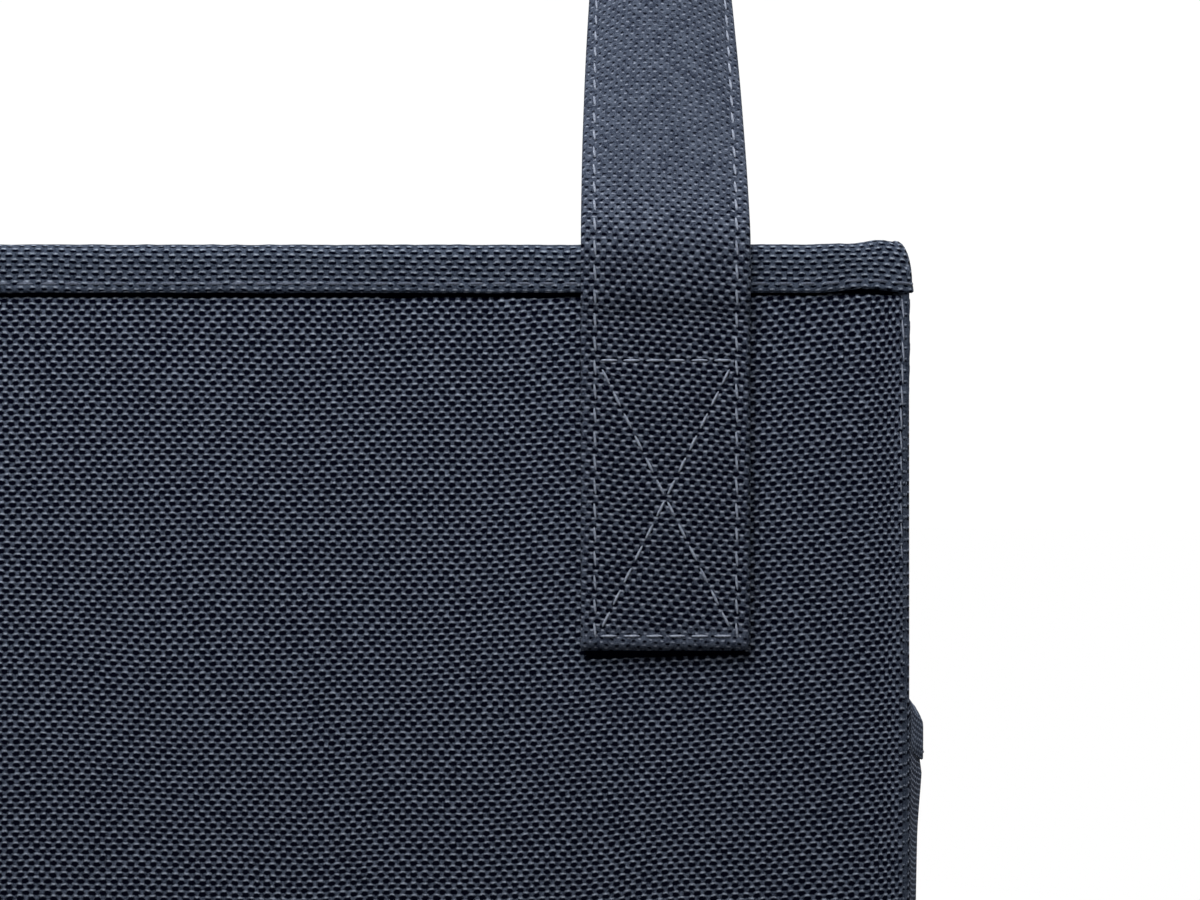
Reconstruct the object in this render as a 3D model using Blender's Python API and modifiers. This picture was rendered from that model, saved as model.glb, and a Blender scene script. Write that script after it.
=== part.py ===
"""Garden tool bag: a stiffened fabric tote with pockets and two webbing handles.

Metres, +Z up. The bag stands on the origin with its front towards -Y and its
right side towards +X. Every wall is a sandwich of outer fabric, a stiffening
board and a lining, closed at the top by a folded rim binding. Each handle is a
strap whose ends are sewn flat to the wall. Above the rim its edges curl back
until, at the grip, it is folded in half. A handle turns about a line just
outside the rim, from leaning in over the mouth to hanging down the outside.
"""

import math

import bmesh
import bpy
from mathutils import Matrix, Vector

# Driving dimensions of the body
WIDTH = 0.300
DEPTH = 0.180
HEIGHT = 0.240
GAP = 0.0003
PANEL_THICK = 0.0012
BOARD_THICK = 0.0018
LINING_THICK = 0.0006
PIPING_RADIUS = 0.0012
PIPING_LIFT = 0.0004
BASE_PANEL_THICK = 0.0015
BASE_BOARD_THICK = 0.0020

# Bindings: a folded tape of one thickness that drops the same height on both sides
BINDING_THICK = 0.0007
RIM_DROP = 0.0085
POCKET_DROP = 0.0080

# Pockets
SIDE_POCKET_HEIGHT = 0.159
SIDE_POCKET_BULGE = 0.0085
SIDE_POCKET_TAPER = 0.5
SIDE_POCKET_SAG = 0.007
INNER_POCKET_HEIGHT = 0.165
INNER_POCKET_BULGE = 0.0140
INNER_POCKET_COUNT = 4
INNER_POCKET_WIDTH = 0.070
INNER_POCKET_THICK = 0.0008
INNER_POCKET_FULLNESS = (0.6, 0.85, 1.0)

# Handles
STRAP_WIDTH = 0.030
STRAP_THICK = 0.0024
STRAP_X = 0.1064
STRAP_END_LOW = 0.168
STRAP_STEP = 0.004
HANDLE_LEAN = math.radians(31.0)
HANDLE_LEG = 0.086
HANDLE_RISE = 0.066
PIVOT_OUT = 0.006
CURL_PER_METRE = math.radians(800.0)
FOLD_FROM = 0.095
GRIP_FROM = 0.145
GRIP_BEND_SHARE = 0.20

# Box stitches on the strap ends
STITCH_HALF_WIDTH = 0.0120
STITCH_LOW = 0.1706
STITCH_HIGH = 0.2192
STITCH_ROW = 0.0009
STITCH_RAISE = 0.0005

# Places worked out from the driving dimensions
HALF_W = WIDTH / 2
HALF_D = DEPTH / 2
BOARD_INSET = PANEL_THICK + GAP
LINING_INSET = BOARD_INSET + BOARD_THICK + GAP
WALL_THICK = LINING_INSET + LINING_THICK
PIPING_Z = PIPING_LIFT + PIPING_RADIUS
WALL_LOW = PIPING_Z + PIPING_RADIUS + GAP
WALL_TOP = HEIGHT - BINDING_THICK - GAP
BASE_BOARD_Z = BASE_PANEL_THICK + GAP
BASE_LINING_Z = BASE_BOARD_Z + BASE_BOARD_THICK + GAP
FLOOR_TOP = BASE_LINING_Z + LINING_THICK
STRAP_OUT = GAP + BINDING_THICK + GAP
STRAP_Y = HALF_D + STRAP_OUT + STRAP_THICK / 2
HANDLE_START_Z = HEIGHT + 2 * GAP + STRAP_THICK / 2 * math.sin(HANDLE_LEAN)

# How finely curved shapes are divided
CORNER_STEPS = 4
EDGE_SHARE = 0.2
SIDE_POCKET_STEPS = 12
SIDE_POCKET_LEVELS = 6
STEPS_PER_POCKET = 8
LEG_STEPS = 11
ARCH_STEPS = 32
FOLD_SIDES = 10
FOLD_CROWDING = 1.8
LEAST_CURL_LENGTH = 0.001


def linear(hex_colour):
    """The linear RGBA of an sRGB hex colour."""
    channels = [int(hex_colour[i:i + 2], 16) / 255 for i in (0, 2, 4)]
    return [c / 12.92 if c <= 0.04045 else ((c + 0.055) / 1.055) ** 2.4 for c in channels] + [1.0]


def make_material(name, hex_colour, roughness, metallic=0.0):
    material = bpy.data.materials.new(name)
    material.use_nodes = True
    shader = material.node_tree.nodes["Principled BSDF"]
    shader.inputs["Base Color"].default_value = linear(hex_colour)
    shader.inputs["Roughness"].default_value = roughness
    shader.inputs["Metallic"].default_value = metallic
    material.diffuse_color = linear(hex_colour)
    return material


def clear_scene():
    for obj in list(bpy.data.objects):
        bpy.data.objects.remove(obj, do_unlink=True)


def add_empty(name, collection, location, parent=None):
    empty = bpy.data.objects.new(name, None)
    empty.location = location
    empty.empty_display_size = 0.02
    empty.parent = parent
    collection.objects.link(empty)
    return empty


def add_object(name, data, collection, material, parent):
    obj = bpy.data.objects.new(name, data)
    obj.parent = parent
    data.materials.append(material)
    collection.objects.link(obj)
    return obj


def add_block(name, size, centre, collection, material, parent):
    """A thin rectangular sheet, such as a cut panel or board, with eased edges."""
    bm = bmesh.new()
    bmesh.ops.create_cube(bm, size=1.0)
    bmesh.ops.scale(bm, vec=Vector(size), verts=bm.verts)
    mesh = bpy.data.meshes.new(name)
    bm.to_mesh(mesh)
    bm.free()
    obj = add_object(name, mesh, collection, material, parent)
    obj.location = centre
    bevel = obj.modifiers.new("eased_edges", "BEVEL")
    bevel.width = min(size) * EDGE_SHARE
    bevel.segments = 1
    return obj


def add_sheet(name, rows, thick, offset, collection, material, parent, cyclic=False):
    """An open surface through rows of points, thickened. Its front is columns cross rows."""
    bm = bmesh.new()
    grid = [[bm.verts.new(point) for point in row] for row in rows]
    columns = len(rows[0])
    for low, high in zip(grid, grid[1:]):
        for j in range(columns if cyclic else columns - 1):
            k = (j + 1) % columns
            bm.faces.new((low[j], low[k], high[k], high[j]))
    mesh = bpy.data.meshes.new(name)
    bm.to_mesh(mesh)
    bm.free()
    mesh.shade_smooth()
    obj = add_object(name, mesh, collection, material, parent)
    solidify = obj.modifiers.new("cloth_thickness", "SOLIDIFY")
    solidify.thickness = thick
    solidify.offset = offset
    solidify.use_even_offset = True
    return obj


def add_piping(name, points, cyclic, collection, material, parent):
    """A round corded seam through the given points."""
    curve = bpy.data.curves.new(name, "CURVE")
    curve.dimensions = "3D"
    curve.bevel_depth = PIPING_RADIUS
    curve.bevel_resolution = 2
    curve.use_fill_caps = True
    spline = curve.splines.new("POLY")
    spline.points.add(len(points) - 1)
    for spline_point, place in zip(spline.points, points):
        spline_point.co = (*place, 1.0)
    spline.use_cyclic_u = cyclic
    return add_object(name, curve, collection, material, parent)


def rounded_rectangle(half_x, half_y, radius):
    """Points round a rectangle with arcs at its corners, anticlockwise from above."""
    points = []
    for quarter, (sign_x, sign_y) in enumerate(((1, 1), (-1, 1), (-1, -1), (1, -1))):
        centre = (sign_x * (half_x - radius), sign_y * (half_y - radius))
        for step in range(CORNER_STEPS + 1):
            angle = (quarter + step / CORNER_STEPS) * math.pi / 2
            points.append((centre[0] + radius * math.cos(angle), centre[1] + radius * math.sin(angle)))
    return points


def binding_rows(outer, inner, groove_top, low):
    """The groove of a folded tape: up its outer face, across the top and down its inner face."""
    heights = (low, groove_top, groove_top, low)
    return [[(x, y, z) for x, y in line] for line, z in zip((outer, outer, inner, inner), heights)]


def smooth(share):
    share = min(max(share, 0.0), 1.0)
    return share * share * (3 - 2 * share)


def build_walls(collection, finishes, root):
    """Outer panel, board and lining of each wall, from the outside in."""
    layers = (
        ("panel", 0.0, PANEL_THICK, 2 * PIPING_RADIUS + GAP, "outer_fabric"),
        ("stiffener", BOARD_INSET, BOARD_THICK, WALL_THICK + GAP, "board"),
        ("lining", LINING_INSET, LINING_THICK, WALL_THICK + GAP, "lining_fabric"),
    )
    height = WALL_TOP - WALL_LOW
    middle_z = (WALL_TOP + WALL_LOW) / 2
    for kind, inset, thick, end_inset, finish in layers:
        for side, sign in (("front", -1), ("back", 1)):
            size = (WIDTH - 2 * end_inset, thick, height)
            centre = (0, sign * (HALF_D - inset - thick / 2), middle_z)
            add_block(f"{side}_{kind}", size, centre, collection, finishes[finish], root)
        for side, sign in (("left", -1), ("right", 1)):
            size = (thick, DEPTH - 2 * end_inset, height)
            centre = (sign * (HALF_W - inset - thick / 2), 0, middle_z)
            add_block(f"{side}_{kind}", size, centre, collection, finishes[finish], root)


def build_base(collection, finishes, root):
    """Base panel on the ground, with its board and lining above it."""
    layers = (
        ("base_panel", 0.0, BASE_PANEL_THICK, 2 * PIPING_RADIUS + GAP, "outer_fabric"),
        ("base_stiffener", BASE_BOARD_Z, BASE_BOARD_THICK, WALL_THICK + GAP, "board"),
        ("base_lining", BASE_LINING_Z, LINING_THICK, WALL_THICK + GAP, "lining_fabric"),
    )
    for name, low, thick, inset, finish in layers:
        size = (WIDTH - 2 * inset, DEPTH - 2 * inset, thick)
        add_block(name, size, (0, 0, low + thick / 2), collection, finishes[finish], root)


def build_seams(collection, finishes, root):
    """Corded seams: one up each corner and one round the base."""
    seam_x = HALF_W - PIPING_RADIUS
    seam_y = HALF_D - PIPING_RADIUS
    for side, sign_y in (("front", -1), ("back", 1)):
        for hand, sign_x in (("left", -1), ("right", 1)):
            ends = [(sign_x * seam_x, sign_y * seam_y, z) for z in (WALL_LOW, WALL_TOP)]
            name = f"{side}_{hand}_corner_seam"
            add_piping(name, ends, False, collection, finishes["binding_tape"], root)
    ring = [(x, y, PIPING_Z) for x, y in rounded_rectangle(seam_x, seam_y, 2 * PIPING_RADIUS)]
    add_piping("base_seam", ring, True, collection, finishes["binding_tape"], root)


def build_rim(collection, finishes, root):
    """The tape folded over the top of all four walls."""
    outer = rounded_rectangle(HALF_W + GAP, HALF_D + GAP, PIPING_RADIUS + GAP)
    inner_inset = WALL_THICK + GAP
    inner = rounded_rectangle(HALF_W - inner_inset, HALF_D - inner_inset, 2 * PIPING_RADIUS)
    rows = binding_rows(outer, inner, HEIGHT - BINDING_THICK, HEIGHT - RIM_DROP)
    finish = finishes["binding_tape"]
    add_sheet("rim_binding", rows, BINDING_THICK, 1, collection, finish, root, cyclic=True)


def side_pocket_line(sign, z, extra):
    """A line across a side pocket, from one corner seam to the other, sagging more the higher it is."""
    half_span = HALF_D - 2 * PIPING_RADIUS - GAP
    straight_from = SIDE_POCKET_HEIGHT - POCKET_DROP - 2 * GAP
    share = min((z - WALL_LOW) / (straight_from - WALL_LOW), 1.0)
    bulge = SIDE_POCKET_BULGE * share ** SIDE_POCKET_TAPER
    line = []
    for step in range(SIDE_POCKET_STEPS + 1):
        along = -1 + 2 * step / SIDE_POCKET_STEPS
        slack = 1 - along ** 2
        out = HALF_W + GAP + bulge * slack + extra
        line.append((sign * out, sign * along * half_span, z - SIDE_POCKET_SAG * share * slack))
    return line


def build_side_pockets(collection, finishes, root):
    """A pocket on each end of the bag, sewn in at the corners and the base, gaping at its mouth."""
    groove_top = SIDE_POCKET_HEIGHT - BINDING_THICK
    low = SIDE_POCKET_HEIGHT - POCKET_DROP
    straight_from = low - 2 * GAP
    shares = [step / SIDE_POCKET_LEVELS for step in range(SIDE_POCKET_LEVELS + 1)]
    heights = [WALL_LOW + (straight_from - WALL_LOW) * share for share in shares] + [groove_top - GAP]
    slack = 2 * GAP
    for side, sign in (("left", -1), ("right", 1)):
        rows = [side_pocket_line(sign, z, slack + BINDING_THICK) for z in heights]
        name = f"{side}_side_pocket"
        add_sheet(name, rows, PANEL_THICK, 1, collection, finishes["outer_fabric"], root)
        outer = BINDING_THICK + 2 * slack + PANEL_THICK
        folds = ((low, outer), (groove_top, outer), (groove_top, BINDING_THICK), (low, BINDING_THICK))
        rows = [side_pocket_line(sign, z, extra) for z, extra in folds]
        finish = finishes["binding_tape"]
        add_sheet(f"{side}_pocket_binding", rows, BINDING_THICK, 1, collection, finish, root)


def inner_pocket_line(sign, share, extra):
    """A level line along a row of inner pockets, which swells away from the lining between seams."""
    steps = STEPS_PER_POCKET * INNER_POCKET_COUNT
    half_span = INNER_POCKET_COUNT * INNER_POCKET_WIDTH / 2
    line = []
    for step in range(steps + 1):
        along = -half_span + 2 * half_span * step / steps
        swell = 0.5 - 0.5 * math.cos(2 * math.pi * (along + half_span) / INNER_POCKET_WIDTH)
        out = HALF_D - WALL_THICK - GAP - extra - INNER_POCKET_BULGE * share * swell
        line.append((sign * along, sign * out))
    return line


def build_inner_pockets(collection, finishes, root):
    """A row of tool pockets inside the front wall and another inside the back wall."""
    top = INNER_POCKET_HEIGHT - BINDING_THICK - GAP
    low = INNER_POCKET_HEIGHT - POCKET_DROP
    at_base, half_way, at_mouth = INNER_POCKET_FULLNESS
    heights = (FLOOR_TOP + 2 * GAP, (FLOOR_TOP + low) / 2, low - GAP, top)
    levels = list(zip(heights, (at_base, half_way, at_mouth, at_mouth)))
    slack = 2 * GAP
    for side, sign in (("front", -1), ("back", 1)):
        rows = []
        for z, share in levels:
            rows.append([(x, y, z) for x, y in inner_pocket_line(sign, share, slack + BINDING_THICK)])
        name = f"{side}_inner_pockets"
        add_sheet(name, rows, INNER_POCKET_THICK, 1, collection, finishes["lining_fabric"], root)
        wall_side = inner_pocket_line(sign, 1.0, BINDING_THICK)
        room_side = inner_pocket_line(sign, 1.0, BINDING_THICK + 2 * slack + INNER_POCKET_THICK)
        rows = binding_rows(room_side, wall_side, INNER_POCKET_HEIGHT - BINDING_THICK, low)
        finish = finishes["binding_tape"]
        add_sheet(f"{side}_inner_pocket_binding", rows, BINDING_THICK, 1, collection, finish, root)


def build_strap_end(name, sign_x, sign_y, collection, finishes, root):
    """The sewn end of a strap, flat on the panel and stepping out over the rim binding."""
    step_low = HEIGHT - RIM_DROP - STRAP_STEP
    step_high = HEIGHT - RIM_DROP - GAP
    profile = ((STRAP_END_LOW, GAP), (step_low, GAP), (step_high, STRAP_OUT), (HEIGHT, STRAP_OUT))
    rows = []
    for z, out in profile:
        edges = [sign_x * STRAP_X - sign_y * across * STRAP_WIDTH / 2 for across in (-1, 1)]
        rows.append([(x, sign_y * (HALF_D + out), z) for x in edges])
    add_sheet(name, rows, STRAP_THICK, 1, collection, finishes["webbing"], root)


def box_stitch_curve(name):
    """A flat rectangle with both its diagonals, drawn as an outline with four triangular holes."""
    half_height = (STITCH_HIGH - STITCH_LOW) / 2
    corners = [(x * STITCH_HALF_WIDTH, z * half_height) for x, z in ((-1, -1), (1, -1), (1, 1), (-1, 1))]
    grow = STITCH_ROW / 2
    outlines = [[(x + math.copysign(grow, x), z + math.copysign(grow, z)) for x, z in corners]]
    for first, second in zip(corners, corners[1:] + corners[:1]):
        triangle = [Vector(first), Vector(second), Vector((0, 0))]
        sides = [(triangle[1] - triangle[2]).length, (triangle[2] - triangle[0]).length]
        sides.append((triangle[0] - triangle[1]).length)
        area = abs((triangle[0] - triangle[2]).cross(triangle[1] - triangle[2])) / 2
        middle = sum((v * s for v, s in zip(triangle, sides)), Vector((0, 0))) / sum(sides)
        shrink = 1 - grow * sum(sides) / (2 * area)
        outlines.append([tuple(middle + (v - middle) * shrink) for v in triangle])
    curve = bpy.data.curves.new(name, "CURVE")
    curve.dimensions = "2D"
    curve.fill_mode = "BOTH"
    curve.extrude = STITCH_RAISE / 2
    for outline in outlines:
        spline = curve.splines.new("POLY")
        spline.points.add(len(outline) - 1)
        for spline_point, (x, z) in zip(spline.points, outline):
            spline_point.co = (x, z, 0, 1)
        spline.use_cyclic_u = True
    return curve


def build_box_stitch(name, sign_x, sign_y, collection, finishes, root):
    curve = box_stitch_curve(name)
    obj = add_object(name, curve, collection, finishes["thread"], root)
    out = HALF_D + GAP + STRAP_THICK + GAP + STITCH_RAISE / 2
    obj.location = (sign_x * STRAP_X, sign_y * out, (STITCH_LOW + STITCH_HIGH) / 2)
    obj.rotation_euler = (math.pi / 2, 0, 0)


def handle_path():
    """Stations of the strap's middle line in the handle's own plane: (x, z, tangent x, tangent z)."""
    stations = []
    for step in range(LEG_STEPS):
        stations.append((-STRAP_X, HANDLE_LEG * step / LEG_STEPS, 0.0, 1.0))
    for step in range(ARCH_STEPS + 1):
        angle = math.pi * (1 - step / ARCH_STEPS)
        across = Vector((STRAP_X * math.sin(angle), -HANDLE_RISE * math.cos(angle))).normalized()
        x = STRAP_X * math.cos(angle)
        stations.append((x, HANDLE_LEG + HANDLE_RISE * math.sin(angle), across.x, across.y))
    for step in range(LEG_STEPS - 1, -1, -1):
        stations.append((STRAP_X, HANDLE_LEG * step / LEG_STEPS, 0.0, -1.0))
    return stations


def folded_point(across, from_end):
    """(sideways, back) of a point of the strap's middle layer, at a distance from its sewn end."""
    half_angle = min(max(from_end, LEAST_CURL_LENGTH) * CURL_PER_METRE, math.pi / 2)
    bend_share = 1 - (1 - GRIP_BEND_SHARE) * smooth((from_end - FOLD_FROM) / (GRIP_FROM - FOLD_FROM))
    reach = bend_share * STRAP_WIDTH / 2
    radius = reach / half_angle
    turned = min(abs(across), reach) / radius
    straight = max(abs(across) - reach, 0.0)
    sideways = radius * math.sin(turned) + straight * math.cos(half_angle)
    back = radius * (1 - math.cos(turned)) + straight * math.sin(half_angle)
    return math.copysign(sideways, across), back


def build_handle(name, collection, finishes, pivot, facing):
    """A strap loop whose edges curl back until it is folded in half along the grip."""
    stations = handle_path()
    lengths = [0.0]
    for before, after in zip(stations, stations[1:]):
        lengths.append(lengths[-1] + math.dist(before[:2], after[:2]))
    spread = [-1 + 2 * step / FOLD_SIDES for step in range(FOLD_SIDES + 1)]
    across_places = [math.copysign(abs(s) ** FOLD_CROWDING, s) * STRAP_WIDTH / 2 for s in spread]
    lean = Matrix.Rotation(-HANDLE_LEAN, 3, "X")
    start = lean.inverted() @ Vector((0, PIVOT_OUT, HANDLE_START_Z - HEIGHT))
    rows = []
    for (x, z, along_x, along_z), length in zip(stations, lengths):
        from_end = min(length, lengths[-1] - length)
        row = []
        for across in across_places:
            sideways, back = folded_point(across, from_end)
            row.append(start + Vector((x + sideways * along_z, back, z - sideways * along_x)))
        rows.append(row)
    obj = add_sheet(name, rows, STRAP_THICK, 0, collection, finishes["webbing"], pivot)
    obj.rotation_euler = (-HANDLE_LEAN, 0, facing)


def build_handles(collection, finishes, root):
    """Two handles, each with its sewn ends, box stitches and a pivot line just outside the rim."""
    for side, sign_y, facing in (("front", -1, 0.0), ("back", 1, math.pi)):
        for hand, sign_x in (("left", -1), ("right", 1)):
            name = f"{side}_{hand}_strap_end"
            build_strap_end(name, sign_x, sign_y, collection, finishes, root)
            name = f"{side}_{hand}_box_stitch"
            build_box_stitch(name, sign_x, sign_y, collection, finishes, root)
        place = (0, sign_y * (STRAP_Y + PIVOT_OUT), HEIGHT)
        pivot = add_empty(f"{side}_handle_pivot", collection, place, root)
        build_handle(f"{side}_handle", collection, finishes, pivot, facing)


def main():
    clear_scene()
    collection = bpy.data.collections.new("garden_tool_bag")
    bpy.context.scene.collection.children.link(collection)
    finishes = {
        "outer_fabric": make_material("outer_fabric", "2E323E", 0.9),
        "lining_fabric": make_material("lining_fabric", "23262E", 0.85),
        "board": make_material("board", "3A3B3D", 0.6),
        "binding_tape": make_material("binding_tape", "3C424E", 0.85),
        "webbing": make_material("webbing", "424854", 0.85),
        "thread": make_material("thread", "6F7786", 0.7),
    }
    root = add_empty("garden_tool_bag_origin", collection, (0, 0, 0))
    build_base(collection, finishes, root)
    build_walls(collection, finishes, root)
    build_seams(collection, finishes, root)
    build_rim(collection, finishes, root)
    build_side_pockets(collection, finishes, root)
    build_inner_pockets(collection, finishes, root)
    build_handles(collection, finishes, root)


main()
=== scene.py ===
"""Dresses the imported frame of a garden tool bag: coarse woven cloth over boards, sewn straps and pockets.

Metres, +Z up, the bag's front towards -Y. Every piece stands where its CAD node is, and takes its place
from the node's box. Cloth is laid as grids whose UV map is in metres along the threads, so that one
weave finish fits every piece.
"""

import logging
import math
from dataclasses import dataclass, replace
from enum import Enum
from typing import Any, Callable, Sequence

import bmesh
import bpy
from mathutils import Matrix, Vector, noise


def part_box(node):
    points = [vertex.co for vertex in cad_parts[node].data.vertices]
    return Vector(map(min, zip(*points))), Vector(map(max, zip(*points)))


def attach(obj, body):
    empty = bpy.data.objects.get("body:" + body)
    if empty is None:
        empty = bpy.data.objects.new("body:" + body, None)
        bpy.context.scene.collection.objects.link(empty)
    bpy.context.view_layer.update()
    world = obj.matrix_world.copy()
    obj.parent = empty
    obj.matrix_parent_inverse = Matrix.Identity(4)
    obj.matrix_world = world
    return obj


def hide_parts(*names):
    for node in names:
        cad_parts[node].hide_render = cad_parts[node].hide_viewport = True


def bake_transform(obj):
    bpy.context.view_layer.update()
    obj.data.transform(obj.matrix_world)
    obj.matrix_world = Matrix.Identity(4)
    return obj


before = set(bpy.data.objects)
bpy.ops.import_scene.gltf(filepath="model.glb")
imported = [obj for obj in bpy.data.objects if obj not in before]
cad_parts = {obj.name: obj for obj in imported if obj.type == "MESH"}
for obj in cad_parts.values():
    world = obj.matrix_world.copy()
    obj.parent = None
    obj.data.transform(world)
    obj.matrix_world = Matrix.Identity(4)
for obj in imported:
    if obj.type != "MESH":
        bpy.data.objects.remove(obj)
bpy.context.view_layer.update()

log = logging.getLogger("garden_tool_bag")

MM = 0.001
GAP = 0.3 * MM
THREAD_MAP = "thread_lie"
# The cloth's press at each point; far below 0 it paints shadow into the openings
PRESS_AND_PAINTED_SHADOW = "press_and_painted_shadow"
MATHS = "ShaderNodeMath"
BAG = "bag"

Place = Callable[[int, int], Vector]
PressAndPaintedShadow = Callable[[int, int], float]
Lie = Callable[[int, int], tuple[float, float]]
Track = Callable[[float], tuple[Vector, Vector]]


class Wall(Enum):
    """A wall of the bag, by the direction that it faces."""

    FRONT = (0, -1)
    RIGHT = (1, 0)
    BACK = (0, 1)
    LEFT = (-1, 0)

    @property
    def label(self) -> str:
        """The wall's name in the names of nodes and pieces."""
        return self.name.lower()

    @property
    def outward(self) -> Vector:
        """The way the wall faces."""
        return Vector((*self.value, 0.0))

    @property
    def rightward(self) -> Vector:
        """To the right, for someone who stands outside and looks at the wall."""
        return Vector((-self.value[1], self.value[0], 0.0))

    @property
    def is_end(self) -> bool:
        """Whether this is one of the two short walls."""
        return self.value[1] == 0


def to_linear(hex_colour: str) -> tuple[float, float, float, float]:
    """Turns an sRGB hex colour to linear RGBA.

    Args:
        hex_colour: Six hex digits.

    Returns:
        Red, green, blue and an alpha of 1.
    """
    channels = [int(hex_colour[i:i + 2], 16) / 255 for i in (0, 2, 4)]
    red, green, blue = (c / 12.92 if c <= 0.04045 else ((c + 0.055) / 1.055) ** 2.4 for c in channels)
    return red, green, blue, 1.0


def ease(share: float) -> float:
    """A smooth step from 0 to 1, level at both ends."""
    share = min(max(share, 0.0), 1.0)
    return share * share * (3 - 2 * share)


def bump_at(value: float, centre: float, reach: float) -> float:
    """A soft hill, 1 at its centre and nearly 0 at twice its reach."""
    return math.exp(-((value - centre) / reach) ** 2)


def spaced(low: float, high: float, step: float) -> list[float]:
    """Evenly spaced numbers from low to high, both included.

    Args:
        low: The first number.
        high: The last number.
        step: About how far apart they are.

    Returns:
        The numbers.
    """
    count = max(1, round(abs(high - low) / step))
    return [low + (high - low) * i / count for i in range(count + 1)]


def drift(place: Vector, wavelength: float, seed: float) -> float:
    """Smooth unevenness between -1 and 1.

    Args:
        place: Where on the piece.
        wavelength: About how far apart the hollows lie.
        seed: Moves the pattern, so that no two pieces share one.

    Returns:
        The unevenness there.
    """
    return noise.noise(place / wavelength + Vector((seed, seed * 0.37, -seed)))


# ---------------------------------------------------------------------------------------------- finishes

def add_node(tree: bpy.types.NodeTree, kind: str, inputs: dict[Any, Any], **settings: Any) -> bpy.types.Node:
    """Adds a shader node with its settings and links.

    Args:
        tree: The node tree that gets it.
        kind: The node's type.
        inputs: By input name or number, either a value or the socket that feeds it.
        **settings: Properties of the node.

    Returns:
        The node.
    """
    node = tree.nodes.new(kind)
    for name, value in settings.items():
        setattr(node, name, value)
    for key, value in inputs.items():
        if isinstance(value, bpy.types.NodeSocket):
            tree.links.new(value, node.inputs[key])
        else:
            node.inputs[key].default_value = value
    return node


def start_material(name: str) -> tuple[bpy.types.Material, bpy.types.NodeTree, bpy.types.Node]:
    """Starts a node material.

    Args:
        name: The finish's name.

    Returns:
        The material, its tree and its Principled shader.
    """
    material = bpy.data.materials.new(name)
    material.use_nodes = True
    return material, material.node_tree, material.node_tree.nodes["Principled BSDF"]


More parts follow.
